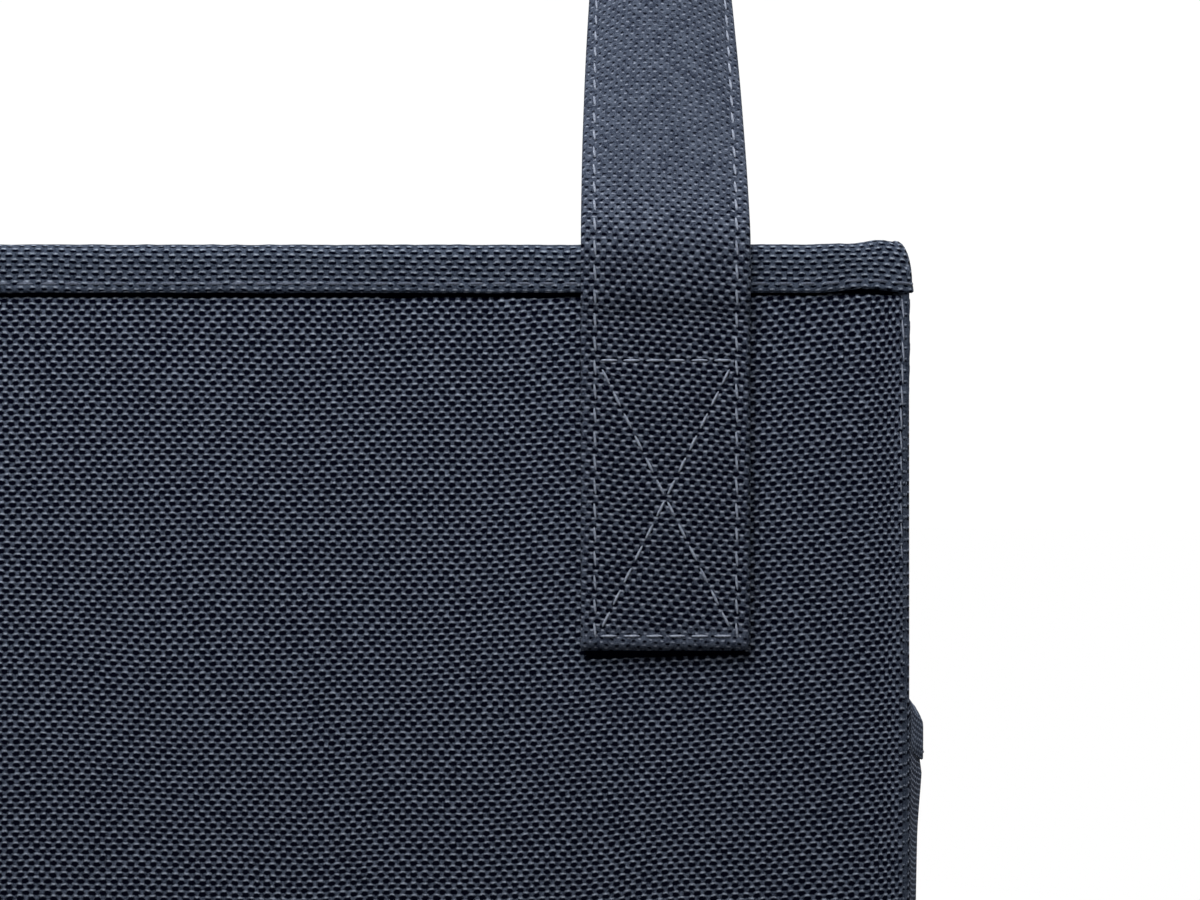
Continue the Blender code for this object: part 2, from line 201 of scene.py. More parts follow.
@dataclass(frozen=True)
class Weave:
    """A plain weave of thick yarns, drawn as openings of painted shade in a net of lighter yarn.

    Attributes:
        name: The finish's name.
        opening_shade_hex: Painted shade down between the yarns.
        shade_hex: Colour of the yarns' darker stretches.
        yarn_hex: Colour of the yarns' lighter stretches.
        painted_highlight_hex: Colour of the painted highlight on the brightest fibres, on the yarns' crowns.
        across_mm: Spacing of the yarns that run up the cloth.
        along_mm: Spacing of the yarns that run across it.
        climb: How many degrees the rows rise to the right.
        opening: Half the width and half the height of an opening, in yarns.
        crown: The same for the painted highlight on the crown above each opening.
        fray: How ragged the openings' edges are.
        painted_highlight_gain: How strongly the painted highlight shows on the crowns.
        wander: How far the yarns stray, in yarn spacings.
        relief_mm: Height of the yarns over the openings.
        roughness: The shader's roughness.
    """

    name: str
    opening_shade_hex: str
    shade_hex: str
    yarn_hex: str
    painted_highlight_hex: str
    across_mm: float
    along_mm: float
    climb: float = 0.0
    opening: tuple[float, float] = (0.72, 0.44)
    crown: tuple[float, float] = (0.50, 0.22)
    fray: float = 1.3
    painted_highlight_gain: float = 1.0
    wander: float = 0.35
    relief_mm: float = 0.25
    roughness: float = 0.9

    def threads(self, tree: bpy.types.NodeTree) -> bpy.types.NodeSocket:
        """Lays out places on the cloth, counted in yarns, with the straying of the yarns in them.

        Args:
            tree: The finish's node tree.

        Returns:
            The places.
        """
        lie = add_node(tree, "ShaderNodeUVMap", {}, uv_map=THREAD_MAP).outputs[0]
        threads = add_node(
            tree, "ShaderNodeMapping",
            {"Vector": lie, "Scale": (1 / (self.across_mm * MM), 1 / (self.along_mm * MM), 1.0),
             "Rotation": (0.0, 0.0, -math.radians(self.climb))},
        ).outputs[0]
        # Yarns stray slowly over several centimetres and quickly from one crossing to the next
        for scale, reach in ((0.03, 5.0), (0.42, 1.0)):
            stray = add_node(tree, "ShaderNodeTexNoise", {"Vector": threads, "Scale": scale, "Detail": 1.0})
            centred = add_node(
                tree, "ShaderNodeVectorMath", {0: stray.outputs["Color"], 1: (0.5, 0.5, 0.5)},
                operation="SUBTRACT",
            ).outputs[0]
            threads = add_node(
                tree, "ShaderNodeVectorMath",
                {0: centred, 1: (self.wander * reach,) * 3, 2: threads}, operation="MULTIPLY_ADD",
            ).outputs[0]
        return threads

    @staticmethod
    def nearness(
        tree: bpy.types.NodeTree, threads: bpy.types.NodeSocket, lift: float, reach: tuple[float, float],
    ) -> bpy.types.NodeSocket:
        """Tells how near the next crossing is, on a lattice laid like bricks.

        Args:
            tree: The finish's node tree.
            threads: Places, counted in yarns.
            lift: Moves the crossings up the cloth, in yarns.
            reach: Half the width and height that count as one.

        Returns:
            The distance, in reaches.
        """
        distances = []
        for offset in (0.0, 1.0):
            near = threads
            for step, values in (
                ("SUBTRACT", (offset, lift + offset, 0.0)),
                ("WRAP", (1.0, 1.0, 1.0)),
                ("MULTIPLY", (1 / reach[0], 1 / reach[1], 0.0)),
            ):
                sockets = {0: near, 1: values, 2: (-1.0, -1.0, -1.0)}
                near = add_node(tree, "ShaderNodeVectorMath", sockets, operation=step).outputs[0]
            length = add_node(tree, "ShaderNodeVectorMath", {0: near}, operation="LENGTH")
            distances.append(length.outputs["Value"])
        return add_node(tree, MATHS, dict(enumerate(distances)), operation="MINIMUM").outputs[0]

    def yarn_colour(
        self, tree: bpy.types.NodeTree, threads: bpy.types.NodeSocket, fibres: bpy.types.NodeSocket,
    ) -> bpy.types.NodeSocket:
        """Colours heathered yarn, which changes along each thread and from fibre to fibre.

        Args:
            tree: The finish's node tree.
            threads: Places, counted in yarns.
            fibres: Unevenness as fine as the fibres.

        Returns:
            The colour.
        """
        streaks = []
        for stretch in ((0.22, 1.1, 1.0), (1.1, 0.22, 1.0)):
            drawn_out = add_node(
                tree, "ShaderNodeVectorMath", {0: threads, 1: stretch}, operation="MULTIPLY").outputs[0]
            streak = add_node(
                tree, "ShaderNodeTexNoise", {"Vector": drawn_out, "Scale": 1.0, "Detail": 1.0})
            streaks.append(streak.outputs[0])
        heather = add_node(tree, MATHS, {0: streaks[0], 1: streaks[1]}, operation="ADD").outputs[0]
        heather = add_node(tree, MATHS, {0: heather, 1: 0.5, 2: 0.5}, operation="MULTIPLY_ADD").outputs[0]
        light = add_node(tree, MATHS, {0: fibres, 1: 2.0, 2: heather}, operation="MULTIPLY_ADD").outputs[0]
        share = add_node(
            tree, "ShaderNodeMapRange", {"Value": light, "From Min": 1.70, "From Max": 2.34}).outputs[0]
        colours = {"Factor": share, 6: to_linear(self.shade_hex), 7: to_linear(self.yarn_hex)}
        return add_node(tree, "ShaderNodeMix", colours, data_type="RGBA").outputs[2]

    def make(self) -> bpy.types.Material:
        """Builds the finish as a node material.

        Returns:
            The material.
        """
        material, tree, shader = start_material(self.name)
        threads = self.threads(tree)
        hollow = self.nearness(tree, threads, 0.0, self.opening)
        # The painted highlight sits on a crown just above each opening
        crown = self.nearness(tree, threads, self.opening[1] + self.crown[1] * 0.7, self.crown)
        fibres = add_node(
            tree, "ShaderNodeTexNoise",
            {"Vector": threads, "Scale": 3.0, "Detail": 4.0, "Roughness": 0.85}).outputs[0]
        # Openings close up where the cloth is pressed or turned, and vary from crossing to crossing;
        # where the press is far below 0, they run together into painted shadow
        press_and_painted_shadow = add_node(tree, "ShaderNodeAttribute", {}, attribute_name=PRESS_AND_PAINTED_SHADOW).outputs["Fac"]
        ragged = {0: fibres, 1: self.fray, 2: hollow}
        edge = add_node(tree, MATHS, ragged, operation="MULTIPLY_ADD").outputs[0]
        edge = add_node(tree, MATHS, {0: press_and_painted_shadow, 1: 0.8, 2: edge}, operation="MULTIPLY_ADD").outputs[0]
        middle = 1.0 + self.fray / 2
        opening = add_node(
            tree, "ShaderNodeMapRange",
            {"Value": edge, "From Min": middle + 0.22, "From Max": middle - 0.28},
            interpolation_type="SMOOTHSTEP").outputs[0]
        # Painted highlight: only the fibres on a crown that stand out of the cloth get it
        glint = add_node(tree, MATHS, {0: fibres, 1: -2.4, 2: crown}, operation="MULTIPLY_ADD").outputs[0]
        glint = add_node(tree, MATHS, {0: press_and_painted_shadow, 1: 0.5, 2: glint}, operation="MULTIPLY_ADD").outputs[0]
        painted_highlight = add_node(
            tree, "ShaderNodeMapRange",
            {"Value": glint, "From Min": -0.05, "From Max": -1.0, "To Max": self.painted_highlight_gain}).outputs[0]
        yarn = self.yarn_colour(tree, threads, fibres)
        highlighted_yarn = add_node(
            tree, "ShaderNodeMix", {"Factor": painted_highlight, 6: yarn, 7: to_linear(self.painted_highlight_hex)},
            data_type="RGBA").outputs[2]
        # The openings are filled with painted shade
        colour = add_node(
            tree, "ShaderNodeMix", {"Factor": opening, 6: highlighted_yarn, 7: to_linear(self.opening_shade_hex)},
            data_type="RGBA").outputs[2]
        height = add_node(tree, MATHS, {0: opening, 1: -0.75, 2: 0.75}, operation="MULTIPLY_ADD").outputs[0]
        height = add_node(tree, MATHS, {0: fibres, 1: 0.5, 2: height}, operation="MULTIPLY_ADD").outputs[0]
        bump = add_node(
            tree, "ShaderNodeBump",
            {"Height": height, "Strength": 0.8, "Distance": self.relief_mm * MM}).outputs[0]
        tree.links.new(colour, shader.inputs["Base Color"])
        tree.links.new(bump, shader.inputs["Normal"])
        shader.inputs["Roughness"].default_value = self.roughness
        shader.inputs["IOR"].default_value = 1.5
        shader.inputs["Specular IOR Level"].default_value = 0.02
        return material


@dataclass(frozen=True)
class Mottled:
    """A finish without a weave that shows, with fine mottling on Object coordinates.

    Attributes:
        name: The finish's name.
        dark_hex: The darker colour.
        light_hex: The lighter colour.
        grain_mm: Size of the mottling.
        relief_mm: Height of the grain.
        roughness: The shader's roughness.
    """

    name: str
    dark_hex: str
    light_hex: str
    grain_mm: float
    relief_mm: float
    roughness: float

    def make(self) -> bpy.types.Material:
        """Builds the finish as a node material.

        Returns:
            The material.
        """
        material, tree, shader = start_material(self.name)
        place = add_node(tree, "ShaderNodeTexCoord", {}).outputs["Object"]
        grain = add_node(
            tree, "ShaderNodeTexNoise",
            {"Vector": place, "Scale": 1 / (self.grain_mm * MM), "Detail": 3.0}).outputs[0]
        share = add_node(
            tree, "ShaderNodeMapRange", {"Value": grain, "From Min": 0.3, "From Max": 0.7}).outputs[0]
        colours = {"Factor": share, 6: to_linear(self.dark_hex), 7: to_linear(self.light_hex)}
        colour = add_node(tree, "ShaderNodeMix", colours, data_type="RGBA").outputs[2]
        bump = add_node(
            tree, "ShaderNodeBump", {"Height": grain, "Strength": 0.6, "Distance": self.relief_mm * MM})
        tree.links.new(colour, shader.inputs["Base Color"])
        tree.links.new(bump.outputs[0], shader.inputs["Normal"])
        shader.inputs["Roughness"].default_value = self.roughness
        shader.inputs["Specular IOR Level"].default_value = 0.2
        return material


class Slot(Enum):
    """The record's material slots."""

    OUTER = "outer_fabric"
    LINING = "lining_fabric"
    BOARD = "board"
    BINDING = "binding_tape"
    WEBBING = "webbing"
    THREAD = "thread"


# Heathered navy polyester, plain woven from yarns about 1 mm thick: a net of grey-blue yarn round openings
# of painted shade that look black, with a painted highlight just above each one
OUTER_CLOTH = Weave("heathered_navy_weave", "01020F", "1C2333", "5F6879", "9CA5B6", 0.967, 1.03)
# The same cloth cut the other way for the straps, with its rows falling to the right
STRAP_CLOTH = Weave(
    "heathered_navy_strap_weave", "01020E", "1B2130", "545C6B", "9299A9", 0.967, 1.03, climb=-4.5,
    opening=(0.72, 0.42))
# The binding is a strip of finer cloth pulled tight: level dashes of light yarn over small openings of
# painted shade
BINDING_CLOTH = Weave(
    "navy_binding_weave", "00020E", "1B2230", "4E5767", "8E97A7", 1.04, 1.0, opening=(0.66, 0.30),
    crown=(0.55, 0.24), wander=0.24, fray=1.5)
# Smooth charcoal polyester taffeta, whose threads of about 0.3 mm are drawn at 0.6 mm so that they show
LINING_CLOTH = Weave(
    "charcoal_lining_taffeta", "101218", "1B1E26", "272B35", "3B404C", 0.6, 0.6, opening=(0.4, 0.3),
    painted_highlight_gain=0.5, wander=0.12, relief_mm=0.08, roughness=0.75)
# Bonded polyester sewing thread, a shade lighter than the cloth
THREAD = Mottled("grey_blue_sewing_thread", "646C7D", "949BAA", 0.35, 0.05, 0.65)
# Thread of the cloth's own colour, which nearly vanishes into the binding
TONAL_THREAD = Mottled("navy_sewing_thread", "343A48", "5A6170", 0.35, 0.05, 0.7)
# Grey polyethylene board, rolled with a faint grain
BOARD = Mottled("grey_polyethylene_board", "34363A", "3F4145", 1.2, 0.03, 0.5)


class Finishes:
    """Makes each finish once and hands it out."""

    def __init__(self) -> None:
        """Starts with no finish made."""
        self.made: dict[str, bpy.types.Material] = {}

    def get(self, finish: Weave | Mottled) -> bpy.types.Material:
        """The material of a finish, made when it is first asked for.

        Args:
            finish: The finish.

        Returns:
            Its material.
        """
        if finish.name not in self.made:
            self.made[finish.name] = finish.make()
        return self.made[finish.name]


FINISHES = Finishes()


# ------------------------------------------------------------------------------------------- shared making

def cloth_grid(
    us: Sequence[float], vs: Sequence[float], place: Place, press_and_painted_shadow: PressAndPaintedShadow | None = None,
    closed: bool = False, turned: bool = False, lie: Lie | None = None,
) -> bmesh.types.BMesh:
    """Lays a grid of cloth, with a UV map in metres along its threads.

    Args:
        us: Distances of the grid's columns.
        vs: Distances of the grid's rows.
        place: Where the crossing of a column and a row lies.
        press_and_painted_shadow: How tightly the cloth is pressed there, up to 1, and far below 0 where
            shadow is painted on it.
        closed: Whether its first and last columns, or rows, meet, with open ends filled.
        turned: Whether the columns run across the cloth's threads instead of up them.
        lie: Where a crossing lies on the flat cloth, when that isn't its column and row.

    Returns:
        The grid as a bmesh.
    """
    shape = bmesh.new()
    lie_layer = shape.loops.layers.uv.new(THREAD_MAP)
    press_layer = shape.verts.layers.float.new(PRESS_AND_PAINTED_SHADOW)
    bmesh.ops.create_grid(shape, x_segments=len(us) - 1, y_segments=len(vs) - 1, size=1.0)
    crossings = {
        vert: (round((vert.co.x + 1) / 2 * (len(us) - 1)), round((vert.co.y + 1) / 2 * (len(vs) - 1)))
        for vert in shape.verts
    }
    for face in shape.faces:
        face.smooth = True
        for loop in face.loops:
            i, j = crossings[loop.vert]
            flat = lie(i, j) if lie else (us[i], vs[j])
            loop[lie_layer].uv = flat[::-1] if turned else flat
    for vert, (i, j) in crossings.items():
        vert.co = place(i, j)
        vert[press_layer] = press_and_painted_shadow(i, j) if press_and_painted_shadow else 0.0
    if closed:
        bmesh.ops.remove_doubles(shape, verts=shape.verts, dist=0.002 * MM)
        rims = [edge for edge in shape.edges if edge.is_boundary]
        if rims:
            bmesh.ops.holes_fill(shape, edges=rims, sides=0)
        bmesh.ops.recalc_face_normals(shape, faces=shape.faces)
    return shape


def tape_loop(line: Sequence[tuple[float, float]], thick: float) -> list[tuple[float, float]]:
    """Turns the middle line of a tape's section to the closed outline of the tape.

    Args:
        line: Points of the middle line, in the section's plane.
        thick: The tape's thickness.

    Returns:
        The outline, which ends on its first point.
    """
    points = [Vector(point) for point in line]
    one_side, other_side = [], []
    for index, point in enumerate(points):
        before = points[max(index - 1, 0)]
        after = points[min(index + 1, len(points) - 1)]
        run = (after - before).normalized()
        normal = Vector((-run.y, run.x)) * thick / 2
        one_side.append(point + normal)
        other_side.append(point - normal)
    tip = points[-1] + (points[-1] - points[-2]).normalized() * thick * 0.4
    tail = points[0] + (points[0] - points[1]).normalized() * thick * 0.4
    outline = [*one_side, tip, *reversed(other_side), tail, one_side[0]]
    return [tuple(point) for point in outline]


def folded_tape(
    full: float, drop: float, thick: float, levels: Sequence[float], bend: float, crown: float,
) -> list[tuple[float, float]]:
    """The outline of a tape that is folded in half over the edge of a cloth.

    Args:
        full: Thickness of the fold over all.
        drop: How far the tape comes down on both sides.
        thick: The tape's own thickness.
        levels: Where each side has its points, as shares of the drop, from the lower edge up.
        bend: How far below the top the fold starts.
        crown: Height of the fold from there.

    Returns:
        The outline as distance out and height, which ends on its first point.
    """
    outer, inner = full - thick / 2, thick / 2
    line = [(outer, -drop * share) for share in levels]
    for index in range(9):
        angle = math.pi * index / 8
        line.append((inner + (outer - inner) / 2 * (1 + math.cos(angle)), crown * math.sin(angle) - bend))
    line += [(inner, -drop * share) for share in reversed(levels)]
    return tape_loop(line, thick)


def run_lengths(points: Sequence[Sequence[float]]) -> list[float]:
    """The distance along a line of points, at each point.

    Args:
        points: The line's points, in order.

    Returns:
        The distances, the first of them 0.
    """
    lengths = [0.0]
    for before, after in zip(points, points[1:]):
        lengths.append(lengths[-1] + math.dist(before, after))
    return lengths


def make_piece(
    name: str, shape: bmesh.types.BMesh, finish: Weave | Mottled, slot: Slot, nodes: Sequence[str],
    thick: float = 0.0,
) -> bpy.types.Object:
    """Makes an object of a shape, dresses it and hides the CAD nodes that it stands for.

    Args:
        name: The piece's name.
        shape: Its mesh, used up here.
        finish: What it is made of.
        slot: The record's slot for that finish; not used.
        nodes: The CAD nodes that it replaces.
        thick: How far a sheet is thickened, away from its face.

    Returns:
        The object, which rides on nothing yet.
    """
    mesh = bpy.data.meshes.new(name)
    shape.to_mesh(mesh)
    shape.free()
    mesh.materials.append(FINISHES.get(finish))
    piece = bpy.data.objects.new(name, mesh)
    bpy.context.scene.collection.objects.link(piece)
    if thick:
        layer = piece.modifiers.new("cloth_thickness", "SOLIDIFY")
        layer.thickness = thick
        layer.offset = -1.0
    if nodes:
        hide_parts(*nodes)
    return piece


@dataclass(frozen=True)
class Stitch:
    """One kind of stitch.

    Attributes:
        length: Length of thread that shows.
        pitch: From one stitch to the next.
        width: Width of the thread.
        slant: How many degrees each stitch is turned from the row.
    """

    length: float = 2.8 * MM
    pitch: float = 4.2 * MM
    width: float = 0.50 * MM
    slant: float = 6.0

    def sew(self, shape: bmesh.types.BMesh, track: Track, start: float, end: float) -> None:
        """Adds a row of stitches.

        Args:
            shape: The bmesh that gets them.
            track: Gives the point and the surface's normal at a distance along the row.
            start: Where the row starts.
            end: Where it ends.
        """
        count = max(1, round((end - start) / self.pitch))
        step = (end - start) / count
        for index in range(count):
            middle = start + (index + 0.5) * step
            point, normal = track(middle)
            ahead = track(middle + self.length / 2)[0] - track(middle - self.length / 2)[0]
            ahead = Matrix.Rotation(math.radians(self.slant), 3, normal) @ ahead.normalized()
            side = ahead.cross(normal).normalized()
            up = side.cross(ahead).normalized()
            # A little more than half of the thread's round section stands out of the cloth
            turn = Matrix((side * self.width / 2, up * self.width / 2, ahead * self.length / 2)).transposed()
            spot = Matrix.Translation(point + normal * self.width * 0.12) @ turn.to_4x4()
            bmesh.ops.create_uvsphere(shape, u_segments=6, v_segments=5, radius=1.0, matrix=spot)


def make_stitches(
    name: str, shape: bmesh.types.BMesh, finish: Mottled, nodes: Sequence[str] = (),
) -> bpy.types.Object:
    """Makes an object of rows of stitches.

    Args:
        name: The piece's name.
        shape: The rows, used up here.
        finish: The thread.
        nodes: The CAD nodes that it replaces.

    Returns:
        The object, which rides on nothing yet.
    """
    for face in shape.faces:
        face.smooth = True
    return make_piece(name, shape, finish, Slot.THREAD, nodes)


# ------------------------------------------------------------------------------------------------ the bag

@dataclass(frozen=True)
class BagForm:
    """The outer skin of the filled bag, which every piece on it follows.

    Attributes:
        half_width: From the middle to the end walls' outer faces.
        half_depth: From the middle to the front and back walls' outer faces.
        low: Where the walls start.
        rim_low: Lower edge of the rim binding.
        rim_top: Top of the rim binding.
        wall_thick: Thickness of a wall, from its outer cloth to its lining.
        seam: Radius of a corner seam.
        belly: How far the middle of a long wall swells out.
        waver: How far a wall is out of flat.
        tuck: How far the cloth turns in below the rim binding.
        groove: Height of the groove that this leaves, where the cloth also gets painted shadow.
        corner_tuck: How far the cloth turns in at a corner seam.
        hem_tuck: How deep a strap's hem presses the cloth in.
        hem_x: From a long wall's middle to the middle of each strap end.
        hem_z: Height of the strap ends' lower edges.
        hem_half: Half the width of the fold below a strap end.
    """

    half_width: float
    half_depth: float
    low: float
    rim_low: float
    rim_top: float
    wall_thick: float = 4.2 * MM
    seam: float = 1.2 * MM
    belly: float = 0.9 * MM
    waver: float = 0.35 * MM
    tuck: float = 0.9 * MM
    groove: float = 0.95 * MM
    corner_tuck: float = 0.35 * MM
    hem_tuck: float = 0.4 * MM
    hem_x: float = 106.4 * MM
    hem_z: float = 168.0 * MM
    hem_half: float = 13.2 * MM

    def half_span(self, wall: Wall) -> float:
        """Half the length of a wall, between the outer faces of its neighbours."""
        return self.half_depth if wall.is_end else self.half_width

    def half_out(self, wall: Wall) -> float:
        """From the bag's middle to a wall's outer face."""
        return self.half_width if wall.is_end else self.half_depth

    def swell(self, wall: Wall, along: float, z: float) -> float:
        """How far the skin stands out of its flat place, broadly.

        Args:
            wall: The wall.
            along: Distance to the right of the wall's middle.
            z: Height.

        Returns:
            The distance, nothing at the corners, the base and the rim.
        """
        across = 1 - min(abs(along) / self.half_span(wall), 1.0) ** 2
        up = min(max((z - self.low) / (self.rim_low - self.low), 0.0), 1.0)
        hold = math.sin(math.pi * up) ** 0.8
        seed = 3.1 * (wall.value[0] + 2 * wall.value[1])
        waver = drift(Vector((along, 0.0, z)), 0.05, seed)
        return hold * across * (self.belly + self.waver * waver)

    def groove_low(self, wall: Wall, along: float) -> float:
        """Lower edge of the groove under the rim binding, which closes towards the corners; the cloth above
        it gets painted shadow.

        Args:
            wall: Which wall.
            along: Distance to the right of the wall's middle.

        Returns:
            The height.
        """
        from_corner = self.half_span(wall) - abs(along)
        open_share = 0.42 + 0.58 * ease((from_corner - 22 * MM) / (50 * MM))
        waver = 0.22 * MM * drift(Vector((along, 0.0, 0.0)), 0.009, 11.0 + wall.value[0])
        return self.rim_low - self.groove * open_share - waver * open_share

    def under_hem(self, wall: Wall, along: float, z: float) -> float:
        """How deep a place is in the fold that a strap's hem presses into the cloth, from 0 to 1; it also
        sets the painted shadow there.

        Args:
            wall: Which wall.
            along: Distance to the right of the wall's middle.
            z: Height.

        Returns:
            The depth, 0 away from the hems.
        """
        if wall.is_end:
            return 0.0
        aside = abs(along) - self.hem_x
        # The fold reaches a little further down towards the wall's middle
        depth = 1.15 * MM - 0.03 * aside
        sides = 1 - ease((abs(aside) - self.hem_half) / (1.2 * MM))
        return sides * ease((z - self.hem_z + depth + 0.25 * MM) / (0.5 * MM)) * (z < self.hem_z + 2 * MM)

    def skin(self, wall: Wall, along: float, z: float) -> float:
        """The swell, with the cloth turned in at the corner seams and below the rim binding.

        Args:
            wall: Which wall.
            along: Distance to the right of the wall's middle.
            z: Height.

        Returns:
            How far the skin stands out of its flat place.
        """
        edge = self.half_span(wall) - self.seam - abs(along)
        turned = self.corner_tuck * (1 - ease(edge / (1.2 * MM)))
        below = self.groove_low(wall, along) - z
        tucked = self.tuck * (1 - ease((below + 0.1 * MM) / (0.55 * MM)))
        pressed = self.hem_tuck * self.under_hem(wall, along, z)
        return self.swell(wall, along, z) - max(turned, tucked, pressed)

    def at(self, wall: Wall, along: float, z: float, out: float) -> Vector:
        """A point by its wall, its place on it and how far it is out of the flat wall.

        Args:
            wall: Which wall.
            along: Distance to the right of the wall's middle.
            z: Height.
            out: Distance out of the flat wall.

        Returns:
            The point.
        """
        return (
            wall.outward * (self.half_out(wall) + out) + wall.rightward * along + Vector((0.0, 0.0, z))
        )


@dataclass(frozen=True)
class Walls:
    """The four outer panels, the four linings, and the base's panel and lining.

    Attributes:
        form: The bag's skin.
        panel_thick: Thickness of the outer cloth.
        lining_thick: Thickness of the lining.
        base_thick: Thickness of the base's panel.
        step: Size of the outer cloth's grid.
        slack_step: Size of the linings' grid.
        top_drop: How far the cloth's top edge stays below the rim's top, inside the binding.
        turn: How far from its edges the cloth starts to turn in.
        hem_edge: Half the strip of wall that a strap's hem presses in.
        shade: How far below 0 the cloth's press is where shadow is painted, in the groove and under a strap's
            hem, so that its openings run together.
    """

    form: BagForm
    panel_thick: float = 0.5 * MM
    lining_thick: float = 0.6 * MM
    base_thick: float = 1.2 * MM
    step: float = 2.5 * MM
    slack_step: float = 4.0 * MM
    top_drop: float = 3.0 * MM
    turn: float = 3.0 * MM
    hem_edge: float = 15.5 * MM
    shade: float = 3.0

    def columns(self, half: float, fold: float | None) -> list[float]:
        """Places of a wall's columns, closer together where the cloth turns in.

        Args:
            half: From the middle to the last column.
            fold: From the middle to the middle of a strap's hem, if the wall has one.

        Returns:
            The places, from left to right.
        """
        ends = spaced(half - self.turn, half, 0.4 * MM)
        if fold is None:
            middle = spaced(0.0, half - self.turn, self.step)
        else:
            inner_edge = self.hem_edge - self.turn
            edges = [fold - self.hem_edge, fold - inner_edge, fold + inner_edge, fold + self.hem_edge]
            middle = spaced(0.0, edges[0], self.step)
            for low, high, step in zip(edges, edges[1:], (0.5 * MM, self.step, 0.5 * MM)):
                middle += spaced(low, high, step)[1:]
            middle += spaced(edges[-1], half - self.turn, self.step)[1:]
        right = middle[1:-1] + ends
        return [-x for x in reversed(right)] + [0.0] + right

    def panel(self, wall: Wall) -> None:
        """Lays one outer panel, whose edges lap onto the corner seams.

        Args:
            wall: Which wall.
        """
        lo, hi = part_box(f"{wall.label}_panel")
        half = self.form.half_span(wall) - self.form.seam - 0.25 * MM
        us = self.columns(half, None if wall.is_end else self.form.hem_x)
        turn = self.form.rim_low - self.turn
        hem = self.form.hem_z
        vs = spaced(lo.z, hem - 2.5 * MM, self.step) + spaced(hem - 2.5 * MM, hem + 0.5 * MM, 0.25 * MM)[1:]
        vs += spaced(hem + 0.5 * MM, turn, self.step)[1:] + spaced(turn, hi.z - self.top_drop, 0.3 * MM)[1:]

        def place(i: int, j: int) -> Vector:
            """A point of the panel's outer face."""
            return self.form.at(wall, us[i], vs[j], self.form.skin(wall, us[i], vs[j]))

        def press_and_painted_shadow(i: int, j: int) -> float:
            """Tighter where the cloth meets the corner seams, and far below 0 for painted shadow in the
            groove and under a strap's hem.

            Args:
                i: The column.
                j: The row.

            Returns:
                How tightly it is pressed, far below 0 where shadow is painted.
            """
            # Painted shadow in the groove under the rim binding and in the fold under a strap's hem
            if vs[j] > self.form.groove_low(wall, us[i]) + 0.1 * MM:
                return -self.shade
            tight = 0.2 * (1 - ease((half - abs(us[i])) / self.turn))
            return tight - self.shade * self.form.under_hem(wall, us[i], vs[j])

        def lie(i: int, j: int) -> tuple[float, float]:
            """Columns crowd towards the corner seams. Rows climb there below the rim, and bow all over.

            Args:
                i: The column.
                j: The row.

            Returns:
                Its place on the flat cloth.
            """
            from_edge = half - abs(us[i])
            crowding = 1.6 * MM * (1 - ease(from_edge / (5 * MM)))
            near_rim = 1 - ease((self.form.rim_low - vs[j]) / (14 * MM))
            climb = 0.03 * (40 * MM - from_edge) * near_rim if from_edge < 40 * MM else 0.0
            bowed = 0.38 * us[i] * abs(us[i]) - 0.017 * us[i]
            return us[i] + math.copysign(crowding, us[i]), vs[j] - climb - bowed

        shape = cloth_grid(us, vs, place, press_and_painted_shadow, lie=lie)
        node = f"{wall.label}_panel"
        piece = make_piece(f"{node}_cloth", shape, OUTER_CLOTH, Slot.OUTER, [node], self.panel_thick)
        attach(piece, BAG)

    def lining(self, wall: Wall) -> None:
        """Lays one lining, a little slack against its board.

        Args:
            wall: Which wall.
        """
        lo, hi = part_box(f"{wall.label}_lining")
        half = (hi - lo).dot(Vector(map(abs, wall.rightward))) / 2
        inner = min(abs(lo.dot(wall.outward)), abs(hi.dot(wall.outward)))
        us = spaced(-half, half, self.slack_step)
        vs = spaced(lo.z, hi.z - self.top_drop, self.slack_step)

        def place(i: int, j: int) -> Vector:
            """A point of the lining's inner face, with shallow slack between its sewn edges.

            Args:
                i: The column.
                j: The row.

            Returns:
                The point.
            """
            held = (1 - (us[i] / half) ** 2) * math.sin(math.pi * j / (len(vs) - 1))
            slack = held * (0.25 + 0.2 * drift(Vector((us[i], 5.0, vs[j])), 0.04, half)) * MM
            middle = wall.outward * (inner - slack) + wall.rightward * us[i]
            return middle + Vector((0.0, 0.0, vs[j]))

        shape = cloth_grid(us, vs, place)
        bmesh.ops.reverse_faces(shape, faces=shape.faces)
        node = f"{wall.label}_lining"
        piece = make_piece(f"{node}_cloth", shape, LINING_CLOTH, Slot.LINING, [node], self.lining_thick)
        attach(piece, BAG)

    def floor(self, node: str, finish: Weave, slot: Slot, faces_up: bool, thick: float) -> None:
        """Lays one sheet of the base.

        Args:
            node: The CAD node that it stands for.
            finish: Its cloth.
            slot: The record's slot for that cloth.
            faces_up: Whether its face is its top.
            thick: Its thickness.
        """
        lo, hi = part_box(node)
        us = spaced(lo.x, hi.x, 5 * MM)
        vs = spaced(lo.y, hi.y, 5 * MM)
        level = hi.z if faces_up else lo.z

        def place(i: int, j: int) -> Vector:
            """A point of the sheet's face."""
            wave = 0.12 * MM * drift(Vector((us[i], vs[j], 0.0)), 0.05, 9.0)
            return Vector((us[i], vs[j], level + (wave if faces_up else abs(wave))))

        shape = cloth_grid(us, vs, place)
        if not faces_up:
            bmesh.ops.reverse_faces(shape, faces=shape.faces)
        piece = make_piece(f"{node}_cloth", shape, finish, slot, [node], thick)
        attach(piece, BAG)

    def build(self) -> None:
        """Builds all ten sheets."""
        for wall in Wall:
            self.panel(wall)
        for wall in Wall:
            self.lining(wall)
        self.floor("base_panel", OUTER_CLOTH, Slot.OUTER, False, self.base_thick)
        self.floor("base_lining", LINING_CLOTH, Slot.LINING, True, self.lining_thick)

    def dress_boards(self) -> None:
        """Gives the boards, which stay as they are, their finish."""
        for label in [wall.label for wall in Wall] + ["base"]:
            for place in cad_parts[f"{label}_stiffener"].material_slots:
                place.material = FINISHES.get(BOARD)


